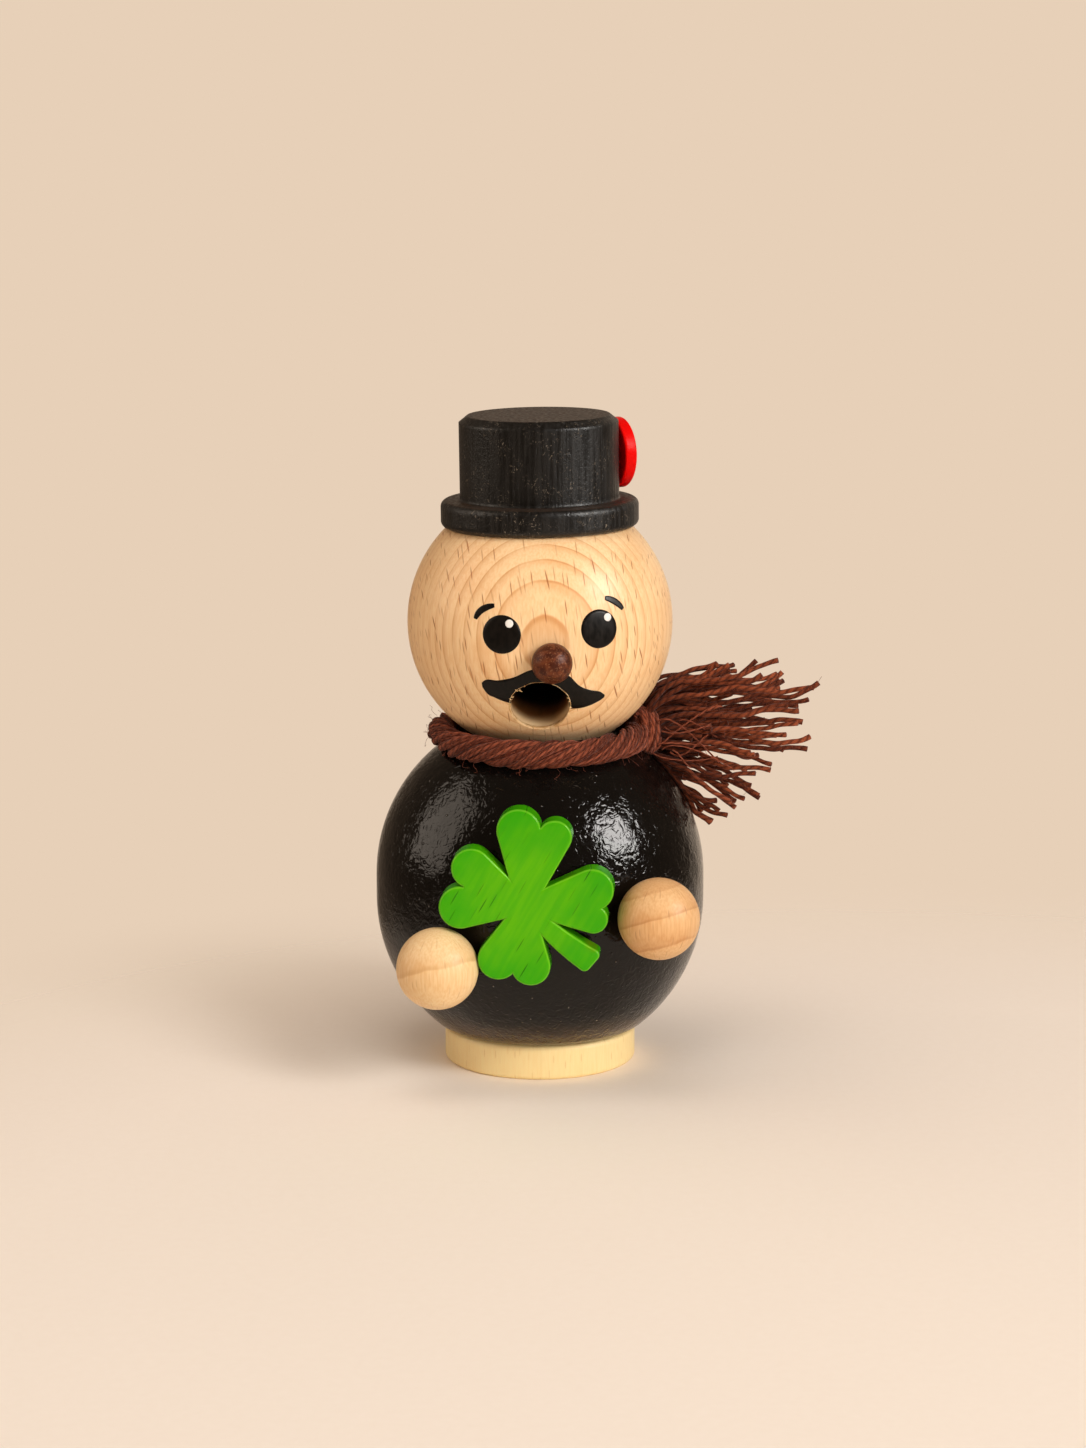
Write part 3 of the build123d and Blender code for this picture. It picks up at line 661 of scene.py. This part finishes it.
def shell(name, rows, material):
    """Thin closed shell on the head from rows of azimuth and latitude, all of one length."""
    row_count, column_count = len(rows), len(rows[0])
    total = row_count * column_count
    flat = [place for row in rows for place in row]
    points = [on_head(*place, lift) for lift in (PAINT_LIFT, -PAINT_LIFT) for place in flat]
    index = np.arange(total).reshape(row_count, column_count)
    faces = []
    for a in index[:-1, :-1].ravel().tolist():
        b = a + column_count
        faces.append((a, a + 1, b + 1, b))
        faces.append((total + a, total + b, total + b + 1, total + a + 1))
    rim = np.concatenate((index[0], index[1:, -1], index[-1, -2::-1], index[-2:0:-1, 0])).tolist()
    for a, b in zip(rim, rim[1:] + rim[:1]):
        faces.append((b, a, total + a, total + b))
    add_piece(name, points, faces, material)


def disc(name, azimuth, latitude, radius, tall, lift, material):
    """Round spot of paint on the head, with its rim tucked into the skin."""
    rings, sides = 6, 48
    outward = bearing(azimuth, latitude)
    side = bearing(azimuth + 90)
    up = np.cross(outward, side)
    points = [HEAD_CENTRE + outward * (HEAD_RADIUS + lift)]
    for ring in range(1, rings + 2):
        share = min(ring, rings) / rings
        sink = -PAINT_LIFT if ring > rings else lift * (1 - 0.5 * share**6)
        for j in range(sides):
            turn = math.tau * j / sides
            spread = side * math.cos(turn) + up * (tall * math.sin(turn))
            direction = outward * HEAD_RADIUS + spread * radius * share
            direction = direction / np.linalg.norm(direction)
            points.append(HEAD_CENTRE + direction * (HEAD_RADIUS + sink))
    bottom = len(points)
    points.append(HEAD_CENTRE + outward * (HEAD_RADIUS - 2 * PAINT_LIFT))
    faces = []
    for j in range(sides):
        k = (j + 1) % sides
        faces.append((0, 1 + j, 1 + k))
        for ring in range(rings):
            low, high = 1 + ring * sides, 1 + (ring + 1) * sides
            faces.append((low + j, high + j, high + k, low + k))
        edge = 1 + rings * sides
        faces.append((bottom, edge + k, edge + j))
    add_piece(name, points, faces, material)


def smooth_line(stops, samples):
    """Value at each sample along smooth curves through stops of place and value."""
    places, values = np.array(stops).T
    slopes = np.gradient(values, places)
    i = np.clip(np.searchsorted(places, samples) - 1, 0, len(places) - 2)
    width = places[i + 1] - places[i]
    t = (samples - places[i]) / width
    keep = 1 + t * t * (2 * t - 3)
    lean = t * (1 - t) * width * (slopes[i] * (1 - t) - slopes[i + 1] * t)
    return values[i] * keep + values[i + 1] * (1 - keep) + lean


def off_mouth_axis(azimuth, latitude):
    """Distance of a point on the head from the middle line of the mouth."""
    offset = on_head(azimuth, latitude) - LIPS
    return np.linalg.norm(offset - MOUTH_OUT * np.dot(offset, MOUTH_OUT))


def rim_point(reach, turn, sink):
    """Point at a distance from the mouth's middle line, sunk along it from the head's skin."""
    spread = SIDE * math.cos(turn) + np.cross(MOUTH_OUT, SIDE) * math.sin(turn)
    base = LIPS - HEAD_CENTRE + spread * reach
    lean = np.dot(base, MOUTH_OUT)
    rise = math.sqrt(lean**2 - np.dot(base, base) + HEAD_RADIUS**2) - lean
    return HEAD_CENTRE + base + MOUTH_OUT * (rise - sink)


def rim_section(width):
    """Closed section of the mouth's rim: how far out from the bore and down from the skin."""
    return (
        (width, 0.12), (width * 0.6, -0.06), (width * 0.15, 0.0), (-0.03, 0.3), (-0.03, 1.1), (0.3, 1.1),
    )


def add_mouth_rim():
    """Raw rim of the mouth where the lacquer broke away, with torn fibres."""
    material = torn_edge()
    draw = random.Random(8)
    waves = [(k, draw.uniform(0, math.tau)) for k in RIM_WAVES]
    points, faces = [], []
    for j in range(RIM_SIDES):
        turn = math.tau * j / RIM_SIDES
        width = RIM_WIDTH + RIM_WAVER * sum(math.sin(k * turn + start) for k, start in waves)
        points.extend(rim_point(MOUTH_RADIUS + out, turn, sink) for out, sink in rim_section(width))
    count = len(points) // RIM_SIDES
    for j in range(RIM_SIDES):
        here, beyond = j * count, (j + 1) % RIM_SIDES * count
        for k in range(count):
            m = (k + 1) % count
            faces.append((here + k, beyond + k, beyond + m, here + m))
    add_piece("mouth_rim", points, faces, material)
    add_torn_fibres(material, draw)


def add_torn_fibres(material, draw):
    """Fibres that stand off the mouth's rim."""
    steps = 7
    fibres = Tubes()
    for turn, length in TORN_FIBRES:
        turn = math.radians(turn)
        root = rim_point(MOUTH_RADIUS, turn, 0.15)
        tip = rim_point(MOUTH_RADIUS + length, turn + draw.uniform(-0.06, 0.06), draw.uniform(-0.25, 0.0))
        middle = (root + tip) / 2 + MOUTH_OUT * draw.uniform(0.1, 0.25)
        fibres.add(bow(root, middle, tip, steps), np.linspace(0.18, 0.05, steps), sides=6, tint=0.0)
    fibres.build("mouth_fibres", material)


def above_mouth(azimuth, latitude):
    """Latitude raised to the mouth's rim where it would lie inside the mouth."""
    while off_mouth_axis(azimuth, latitude) < MOUTH_RADIUS and latitude < 0:
        latitude += 0.05
    return latitude


def add_face():
    """Eyes, catch-lights, brows, moustache and the mouth's rim."""
    black = face_paint("face_black", tone(10, 8, 6), tone(22, 17, 13))
    white = face_paint("face_white", tone(244, 242, 238), tone(232, 228, 222))
    for name, place in EYES.items():
        disc(name, *place, EYE_RADIUS, EYE_TALL, EYE_LIFT, black)
    for name, place in CATCH_LIGHTS.items():
        disc(name, *place, GLINT_RADIUS, 1.0, GLINT_LIFT, white)
    for name, stops in BROWS.items():
        add_brow(name, stops, black)
    add_moustache(black)
    add_mouth_rim()


def add_brow(name, stops, material):
    """Curved stroke, a little thinner at its ends."""
    steps, rows = 24, 5
    first, middle, last = np.array(stops)
    line = bow(first, 2 * middle - (first + last) / 2, last, steps)
    sides = directions(line)[:, ::-1] * np.array((-1.0, 1.0))
    taper = 0.5 + 0.5 * np.sin(np.linspace(0, math.pi, steps)[:, None]) ** 0.6
    half = math.degrees(BROW_WIDTH / 2 / HEAD_RADIUS) * taper
    grid = [line + sides * half * s for s in np.linspace(-1, 1, rows)]
    shell(name, grid, material)


def add_moustache(material):
    """Moustache under the nose, cut by the mouth."""
    steps, rows = 150, 9
    azimuths = np.linspace(MOUSTACHE_UPPER[0][0], MOUSTACHE_UPPER[-1][0], steps)
    tops = smooth_line(MOUSTACHE_UPPER, azimuths)
    bottoms = smooth_line(MOUSTACHE_LOWER, azimuths)
    bottoms = np.array([above_mouth(a, b) for a, b in zip(azimuths, bottoms)])
    grid = [np.stack((azimuths, bottoms + (tops - bottoms) * s), axis=1) for s in np.linspace(0, 1, rows)]
    shell("moustache", grid, material)


# Scarf

ROPE_RADIUS = 2.55
ROPE_CORE_INSET = 0.9
ROPE_BOX = node_box("scarf_rope")
LOOP_INSET = 3.1
LOOP_RADIUS = (ROPE_BOX[1][1] - ROPE_BOX[0][1]) / 2 - LOOP_INSET
LOOP_FORWARD = 0.8
LOOP_RISE = -0.4
LOOP_CENTRE = np.array((0.0, -LOOP_FORWARD, NECK_Z + LOOP_RISE))
LOOP_TILT = 2.5
KNOT_AZIMUTH = 92.0
KNOT_OUT = bearing(KNOT_AZIMUTH)
KNOT_BACK = bearing(KNOT_AZIMUTH + 90)
KNOT_GAP = 3.0
ROPE_STRANDS = 6
ROPE_PITCH = 22.5
STRAND_RADIUS = 0.83
STRAND_PITCH = 24.0
STRAND_YARNS = 8
YARN_RADIUS = 0.27
ROPE_STEP = 0.45
PRESS_GAP = 0.05
WRAP_AZIMUTH = 110.0
WRAP_LENGTH = 4.9
WRAP_RADIUS = 4.75
WRAP_CORE_INSET = 1.5
WRAP_OUT = 1.0
WRAP_BULGE = 0.55
WRAP_ENDS = 0.9
WRAP_START = -120.0
WRAP_TURNS = 2.3
WRAP_STRANDS = 2
# Middle of the place where the frayed ends leave the wrap
THROAT_OUT = 22.2
THROAT_DROP = 0.2
THROAT = KNOT_OUT * THROAT_OUT + UP * (NECK_Z + LOOP_RISE - THROAT_DROP)
SIGHT_FALL = 0.21
FRINGE_YARN = 0.44
# Roots of the frayed yarns: inset into the throat, spread up and back, rise for each degree of lift
ROOT_INSET = (1.2, 2.4)
ROOT_SPREAD_UP = (-1.5, 1.5)
ROOT_SPREAD_BACK = (-0.8, 0.8)
ROOT_RISE = 0.095
STEEPEST_LEAVE = 74.0
END_SWELL = 0.16
# Period and size of the waves in an untwisted yarn
KINKS = ((4.2, 0.06), (9.0, 0.16), (17.0, 0.5))
# Yarns added beside the listed tips: count, least and greatest share of the way to a tip, and stray
COMPANIONS = (10, 0.8, 1.0, 1.1)
FILLERS = (34, 0.3, 0.5, 1.4)
# Ranges of random steps: out from the knot, up, and forward
PLY_ROOT = ((-2, 3), (-4, 3), (3.6, 5.2))
PLY_TIP = ((4, 13), (-7, 11), (1, 6))
FIBRE_LEAN = ((-0.3, 1), (-1, 1), (-0.5, 1))
LOOSE_PLIES = 10
PLY_RADIUS = (0.1, 0.17)
PLY_GAP = 0.2
CORD_FIBRES = 80
FIBRE_RADIUS = 0.03
# Tips of the frayed yarns as the camera sees them: how far out and up from the throat, and how far back
UPPER_TIPS = (
    (10.4, 12.2, 3.0), (13.2, 12.9, 6.0), (12.4, 11.6, -1.0), (17.4, 12.2, -3.0), (17.6, 10.4, -5.5),
    (20.7, 12.4, -6.0), (22.1, 10.7, 1.0), (22.5, 9.4, 5.0), (22.3, 8.1, 9.0), (28.3, 8.8, -2.0),
    (27.8, 7.3, 2.0), (26.0, 5.8, -5.0), (25.6, 5.2, 7.0), (24.0, 3.8, -8.0), (16.0, 9.0, 10.0),
    (18.5, 6.5, 12.0), (21.0, 5.5, 13.5), (20.0, 8.0, -7.0), (22.5, 4.2, -6.0), (15.0, 10.5, 6.0),
)
LOWER_TIPS = (
    (25.6, 1.2, -2.0), (27.4, -1.3, 2.0), (26.3, -4.3, -4.0), (22.9, -3.6, 3.5), (15.7, -3.8, -6.0),
    (19.6, -5.9, -6.0), (19.9, -7.8, -1.0), (17.0, -9.9, 3.0), (17.7, -12.4, -4.0), (15.2, -12.2, -1.0),
    (13.9, -14.3, 2.0), (11.9, -16.2, -3.0), (9.0, -17.7, 1.0), (9.5, -17.2, 4.0), (22.0, -1.5, 9.0),
    (19.0, -4.5, 11.0), (16.5, -7.5, 10.0), (13.0, -10.0, 8.5), (10.5, -13.5, 7.0), (16.5, -8.6, -6.0),
    (22.0, -0.6, -7.0), (21.5, 1.5, 11.5), (12.6, -13.2, -5.0), (10.4, -15.2, -2.0), (8.2, -16.0, 2.0),
)


def loop_point(azimuth):
    """Middle of the cord's section at an azimuth, and its outward and upward directions."""
    tilt = math.radians(LOOP_TILT)
    back = np.array((0.0, math.cos(tilt), math.sin(tilt)))
    outward = SIDE * math.sin(math.radians(azimuth)) - back * math.cos(math.radians(azimuth))
    return LOOP_CENTRE + outward * LOOP_RADIUS, outward, np.cross(SIDE, back)


def fan_place(out, rise, depth):
    """Point of the fan from how far out and up it is seen, and how far back it lies."""
    return THROAT + KNOT_OUT * out + UP * rise + (KNOT_BACK - UP * SIGHT_FALL) * depth


def wound(middle, first, second, reach, turn):
    """Path that winds round a middle line, given two directions across it."""
    return middle + first * (reach * np.cos(turn))[:, None] + second * (reach * np.sin(turn))[:, None]


def lay_yarns(tubes, middle, first, second, draw):
    """Yarns twisted round the middle line of a strand, given two directions across it."""
    runs = runs_along(middle)
    start = draw.uniform(0, math.tau)
    for yarn in range(STRAND_YARNS):
        turn = math.tau * (yarn / STRAND_YARNS + runs / STRAND_PITCH) + start
        reach = STRAND_RADIUS - YARN_RADIUS + 0.06 * np.sin(runs / 1.9 + draw.uniform(0, 6))
        path = wound(middle, first, second, reach, turn)
        tubes.add(path, YARN_RADIUS * draw.uniform(0.85, 1.15), sides=6, tint=draw.random())


def add_rope(material):
    """Cord round the neck, laid up from strands that are each a twist of yarns."""
    draw = random.Random(11)
    sweep = 360 - 2 * KNOT_GAP
    length = math.radians(sweep) * LOOP_RADIUS
    steps = int(length / ROPE_STEP)
    runs = np.linspace(0, length, steps)
    sections = [loop_point(KNOT_AZIMUTH + KNOT_GAP + sweep * run / length) for run in runs]
    middles, outwards, upwards = (np.array(column) for column in zip(*sections))
    rope = Tubes()
    rope.add(middles, ROPE_RADIUS - ROPE_CORE_INSET, sides=10, tint=0.0)
    for strand in range(ROPE_STRANDS):
        lead = math.tau * (strand + draw.uniform(-0.15, 0.15)) / ROPE_STRANDS
        sway = draw.uniform(0, math.tau)
        lay = math.tau * runs / ROPE_PITCH + lead
        lay = lay + 0.17 * np.sin(runs / 8.0 + sway) + 0.08 * np.sin(runs / 3.3 + 3 * sway)
        reach = ROPE_RADIUS - STRAND_RADIUS + 0.16 * np.sin(runs / 5.0 + 2 * sway)
        middle = wound(middles, outwards, upwards, reach, lay)
        lay_yarns(rope, middle, outwards, upwards, draw)
    rope.press_clear(PRESS_GAP)
    rope.build("scarf_cord", material, ["scarf_rope"])


def add_wrap(material):
    """Cord turned round its own ends where it is tied."""
    draw = random.Random(5)
    outward = bearing(WRAP_AZIMUTH)
    back = bearing(WRAP_AZIMUTH + 90)
    origin = LOOP_CENTRE + KNOT_OUT * (LOOP_RADIUS + WRAP_OUT) - outward * WRAP_LENGTH / 2
    wrap = Tubes()
    core = origin + outward * np.linspace(0.3, WRAP_LENGTH - 0.2, 8)[:, None]
    wrap.add(core, WRAP_RADIUS - WRAP_CORE_INSET, sides=16, tint=0.0)
    share = np.linspace(0, 1, 150)
    for strand in range(WRAP_STRANDS):
        around = math.radians(WRAP_START + 360 * strand / WRAP_STRANDS) + math.tau * WRAP_TURNS * share
        along = WRAP_ENDS + (WRAP_LENGTH - 2 * WRAP_ENDS) * share
        barrel = WRAP_RADIUS - STRAND_RADIUS - WRAP_BULGE * (2 * share - 1) ** 2
        across = -back * np.cos(around)[:, None] + UP * np.sin(around)[:, None]
        middle = origin + outward * along[:, None] + across * barrel[:, None]
        lay_yarns(wrap, middle, across, outward, draw)
    wrap.press_clear(PRESS_GAP)
    wrap.build("scarf_wrap", material, ["scarf_knot"])


def kinked(path, draw):
    """Path with the slight waves of untwisted yarn, still at its root."""
    steps = len(path)
    runs = np.linspace(0, 1, steps)
    length = runs_along(path)[-1]
    for axis in ring_frames(path):
        wave = np.zeros(steps)
        for period, size in KINKS:
            wave += size * np.sin(math.tau * runs * length / period + draw.uniform(0, math.tau))
        path = path + axis * (wave * np.minimum(1.0, runs * 2.5))[:, None]
    return path


def leave_angle(lift, draw):
    """Angle in degrees at which a yarn leaves the throat, from how high its tip is seen."""
    if lift > 0:
        return min(1.8 * lift + 10.0, STEEPEST_LEAVE)
    return 0.8 * lift + draw.uniform(-4, 8)


def fan_yarn(fringe, out, rise, depth, width, draw):
    """One yarn of the fan, from its root in the throat to its tip."""
    tip = fan_place(out, rise, depth)
    lift = math.degrees(math.atan2(rise, out))
    inset = draw.uniform(*ROOT_INSET) + 0.04 * max(lift, 0.0)
    root = THROAT - KNOT_OUT * inset + UP * (ROOT_RISE * lift + draw.uniform(*ROOT_SPREAD_UP))
    root = root + KNOT_BACK * (depth * 0.3 + draw.uniform(*ROOT_SPREAD_BACK))
    reach = np.linalg.norm(tip - root)
    first = math.radians(leave_angle(lift, draw))
    leave = KNOT_OUT * math.cos(first) + UP * math.sin(first)
    arrive = (tip - root) / reach + UP * draw.uniform(-0.2, 0.35) + KNOT_BACK * draw.uniform(-0.3, 0.3)
    path = bezier(root, root + leave * reach * 0.38, tip - arrive * reach * 0.36, tip, steps=44)
    path = clear_of_balls(kinked(path, draw), width)
    runs = np.linspace(0, 1, len(path))
    radii = width * (1 + END_SWELL * np.clip((runs - 0.94) / 0.05, 0, 1))
    fringe.add(path, radii, sides=8, tint=draw.random())


def add_fringe(name, node, tips, seed, material):
    """Frayed end of the cord: yarns that leave the throat together and spread to their tips."""
    draw = random.Random(seed)
    fringe = Tubes()
    for out, rise, depth in tips:
        fan_yarn(fringe, out, rise, depth, FRINGE_YARN * draw.uniform(0.9, 1.1), draw)
    for count, low, high, stray in (COMPANIONS, FILLERS):
        for _ in range(count):
            share = draw.uniform(low, high)
            out, rise, depth = (c * share + draw.uniform(-stray, stray) for c in draw.choice(tips))
            fan_yarn(fringe, out, rise, depth, FRINGE_YARN * draw.uniform(0.8, 1.05), draw)
    fringe.build(name, material, [node])


def random_step(draw, out, rise, forward):
    """Random step from the knot, within a range in each direction."""
    return KNOT_OUT * draw.uniform(*out) + UP * draw.uniform(*rise) - KNOT_BACK * draw.uniform(*forward)


def add_loose_plies(material):
    """Thin plies that broke out of the yarns near the wrap, and loose fibres of the whole scarf."""
    draw = random.Random(31)
    loose = Tubes()
    for _ in range(LOOSE_PLIES):
        root = THROAT + random_step(draw, *PLY_ROOT)
        tip = THROAT + random_step(draw, *PLY_TIP)
        arch = UP * draw.uniform(-3, 4) - KNOT_BACK * draw.uniform(0, 3)
        path = bezier(root, root + arch + KNOT_OUT * 2, tip + arch * 0.6 - KNOT_OUT * 2, tip, steps=36)
        radius = draw.uniform(*PLY_RADIUS)
        loose.add(clear_of_balls(path, PLY_GAP), radius, sides=6, tint=draw.uniform(0.4, 1.0))
    for _ in range(CORD_FIBRES):
        middle, out, up = loop_point(draw.uniform(0, 360))
        turn = math.radians(draw.uniform(-110, 100))
        skin = out * math.cos(turn) + up * math.sin(turn)
        add_fibre(loose, middle + skin * (ROPE_RADIUS - 0.1), skin, draw.uniform(0.6, 3.6), draw)
    for out, rise, depth in UPPER_TIPS + LOWER_TIPS:
        share = draw.uniform(0.35, 1.0)
        root = fan_place(out * share, rise * share, depth * share)
        lean = random_step(draw, *FIBRE_LEAN)
        add_fibre(loose, root, lean / np.linalg.norm(lean), draw.uniform(0.6, 2.4), draw)
    loose.build("scarf_loose", material)


def add_fibre(tubes, root, direction, length, draw):
    """Thin curled fibre that stands off the yarn."""
    first, second = (np.array([draw.uniform(-1, 1) for _ in range(3)]) * length for _ in range(2))
    tip = root + direction * length * 0.6 + first * 0.5
    path = bezier(root, root + direction * length * 0.5 + second * 0.6, tip - second * 0.6, tip, steps=14)
    tubes.add(clear_of_balls(path, FIBRE_RADIUS), FIBRE_RADIUS, sides=5, tint=draw.uniform(0.5, 1.0))


def add_scarf():
    """Cord, wrap, frayed ends and loose fibres."""
    cord = yarn_material("scarf_yarn", tone(84, 36, 21), tone(152, 79, 55), 0.0)
    # The fan's yarns carry painted shade near their roots.
    fan = yarn_material("scarf_fan_yarn", tone(78, 31, 15), tone(144, 72, 44), 0.74)
    add_rope(cord)
    add_wrap(cord)
    add_fringe("scarf_fringe_upper", "scarf_end_upper", UPPER_TIPS, 21, fan)
    add_fringe("scarf_fringe_lower", "scarf_end_lower", LOWER_TIPS, 22, fan)
    add_loose_plies(cord)


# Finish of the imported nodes

DOWELS = ("neck_sleeve", "nose_peg", "hat_dowel", "right_hand_dowel", "left_hand_dowel", "clover_dowel")


def dress(name, material):
    """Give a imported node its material."""
    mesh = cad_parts[name].data
    mesh.materials.clear()
    mesh.materials.append(material)


def dress_nodes():
    """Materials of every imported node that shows."""
    dress("head_ball", beech_head())
    dress("body_ball", lacquer_black())
    dress("top_hat", painted_hat())
    dress("hat_disc", painted_red())
    dress("clover", stained_green())
    dress("nose", stained_nose())
    dress("right_hand", plain_wood(
        "right_hand_wood", "right_hand", turn=(103.0, 0.0, 15.0), pith=150.0, ring_gap=9.0,
        colours=((245, 213, 164), (232, 187, 131), (204, 145, 86), (184, 122, 68)),
        ring_share=0.5, dash_share=0.4, phase=ring_phase(9.0, 150.0)))
    dress("left_hand", plain_wood(
        "left_hand_wood", "left_hand", turn=(103.0, 0.0, 17.0), pith=120.0, ring_gap=4.6,
        colours=((234, 191, 139), (217, 162, 106), (188, 122, 66), (164, 98, 48)),
        ring_share=0.55, dash_share=0.45, phase=ring_phase(4.6, 120.0)))
    dress("base_foot", plain_wood(
        "foot_wood", "base_foot", turn=(0.0, 0.0, 25.0), pith=60.0, ring_gap=3.0,
        colours=((250, 226, 167), (248, 217, 154), (232, 194, 126), (206, 154, 88)),
        ring_share=0.15, dash_share=0.3, edge=0.5))
    raw = plain_wood(
        "dowel_wood", "hat_dowel", turn=(0.0, 0.0, 0.0), pith=40.0, ring_gap=2.0,
        colours=((226, 190, 142), (206, 164, 114), (176, 128, 82), (160, 112, 70)),
        ring_share=0.4, dash_share=0.4)
    for name in DOWELS:
        dress(name, raw)
    dress("ember_plate", metal("dish_brass", tone(214, 172, 92), tone(160, 112, 52), 0.28))
    dress("plate_nail", metal("nail_steel", tone(176, 174, 170), tone(132, 128, 122), 0.3))


# Stage

CAMERA_PLACE = (0.000545, -0.650, 0.18962)
CAMERA_DIP = 11.0875
CAMERA_LENS = 90.39
SENSOR_WIDTH = 36.0
LOOK_AT = np.array((0.0, 0.0, 0.06))
FLOOR_RADIUS = 1.2
FLOOR_SIDES = 96
FLOOR_FADE_MIDDLE = (60.0, -110.0, 0.0)
FLOOR_FADE = (140.0, 260.0)
BACKDROP = tone(231, 208, 184)
ROOM = (0.16, 0.112, 0.075, 1.0)
STUDIO_LIGHT = (1.0, 0.975, 0.935)
WARM_LIGHT = (1.0, 0.86, 0.72)
# Lamps: azimuth, latitude, distance, width, height, radiance, colour, and whether it shows in gloss
LAMPS = {
    "key": (43.0, 30.0, 2.0, 0.75, 0.75, 14.6, STUDIO_LIGHT, False),
    "top": (0.0, 72.0, 2.0, 1.0, 1.0, 1.9, STUDIO_LIGHT, False),
    "low": (25.0, 12.0, 2.0, 0.7, 0.6, 5.8, STUDIO_LIGHT, False),
    "fill": (-85.0, 48.0, 2.0, 5.0, 3.2, 0.55, WARM_LIGHT, False),
    "gloss_right": (63.0, 28.0, 2.0, 0.82, 0.82, 22.0, STUDIO_LIGHT, True),
    "gloss_left": (-88.0, 26.0, 1.5, 0.9, 1.25, 2.4, WARM_LIGHT, True),
}


def add_camera():
    """Camera at the photograph's angle."""
    data = bpy.data.cameras.new("camera")
    data.lens = CAMERA_LENS
    data.sensor_width = SENSOR_WIDTH
    camera = put("camera", data)
    camera.location = CAMERA_PLACE
    camera.rotation_euler = (math.radians(90 - CAMERA_DIP), 0.0, 0.0)
    bpy.context.scene.camera = camera


def add_softbox(name, azimuth, latitude, distance, width, height, radiance, colour, in_gloss):
    """Rectangular lamp that faces the figure. It shows either in gloss or as plain light."""
    data = bpy.data.lights.new(name, "AREA")
    data.shape = "RECTANGLE"
    data.size = width
    data.size_y = height
    data.energy = radiance * math.pi * width * height
    data.color = colour
    lamp = put(name, data)
    lamp.location = LOOK_AT + bearing(azimuth, latitude) * distance
    lamp.rotation_euler = (math.radians(90 - latitude), 0.0, math.radians(azimuth))
    lamp.visible_camera = False
    lamp.visible_diffuse = not in_gloss
    lamp.visible_glossy = in_gloss


def add_world():
    """Pale backdrop all round for the camera. In reflections and light it is pale only behind."""
    world = bpy.data.worlds.new("studio")
    world.use_nodes = True
    graph = Graph(world.node_tree)
    x, y, z = graph.parts(graph.add("TexCoord").outputs["Generated"])
    behind = graph.ramp(graph.plus(y, graph.times(x, 0.3)), 0.8, 1.04)
    behind = graph.times(behind, graph.ramp(z, 0.4, 0.8, 1.0, 0.0))
    seen = graph.add("LightPath").outputs["Is Camera Ray"]
    colour = graph.blend(graph.math("MAXIMUM", behind, seen), ROOM, BACKDROP)
    graph.feed(world.node_tree.nodes["Background"].inputs["Color"], colour)
    bpy.context.scene.world = world


def floor_paper():
    """Pale paper that fades into the backdrop away from the figure, though all of it throws light."""
    skin = Skin("floor_paper")
    place = skin.place(FLOOR_FADE_MIDDLE)
    mottle = skin.noise(place, 0.6, 4.0)
    colour = skin.blend(mottle, tone(255, 244, 233), tone(252, 240, 228))
    skin.finish(Base_Color=colour, Roughness=0.9, Specular_IOR_Level=0.1)
    clear = skin.add("BsdfTransparent").outputs[0]
    thrown = skin.add("LightPath").outputs["Is Diffuse Ray"]
    fade = skin.ramp(skin.length(place), *FLOOR_FADE)
    fade = skin.times(fade, skin.minus(1.0, thrown))
    faded = skin.add("MixShader", {0: fade, 1: skin.shader.outputs[0], 2: clear})
    skin.feed(skin.tree.nodes["Material Output"].inputs["Surface"], faded.outputs[0])
    return skin.material


def add_floor():
    """Round floor under the figure."""
    turns = np.linspace(0, math.tau, FLOOR_SIDES, endpoint=False)
    rim = [(FLOOR_RADIUS * math.cos(t), FLOOR_RADIUS * math.sin(t), 0.0) for t in turns]
    mesh = bpy.data.meshes.new("floor")
    mesh.from_pydata(rim, [], [tuple(range(FLOOR_SIDES))])
    mesh.materials.append(floor_paper())
    floor = put("floor", mesh)


def add_stage():
    """Floor, light and camera."""
    add_floor()
    add_world()
    for name, lamp in LAMPS.items():
        add_softbox(name, *lamp)
    add_camera()
    bpy.context.scene.view_settings.view_transform = "Standard"


dress_nodes()
add_face()
add_scarf()
add_stage()
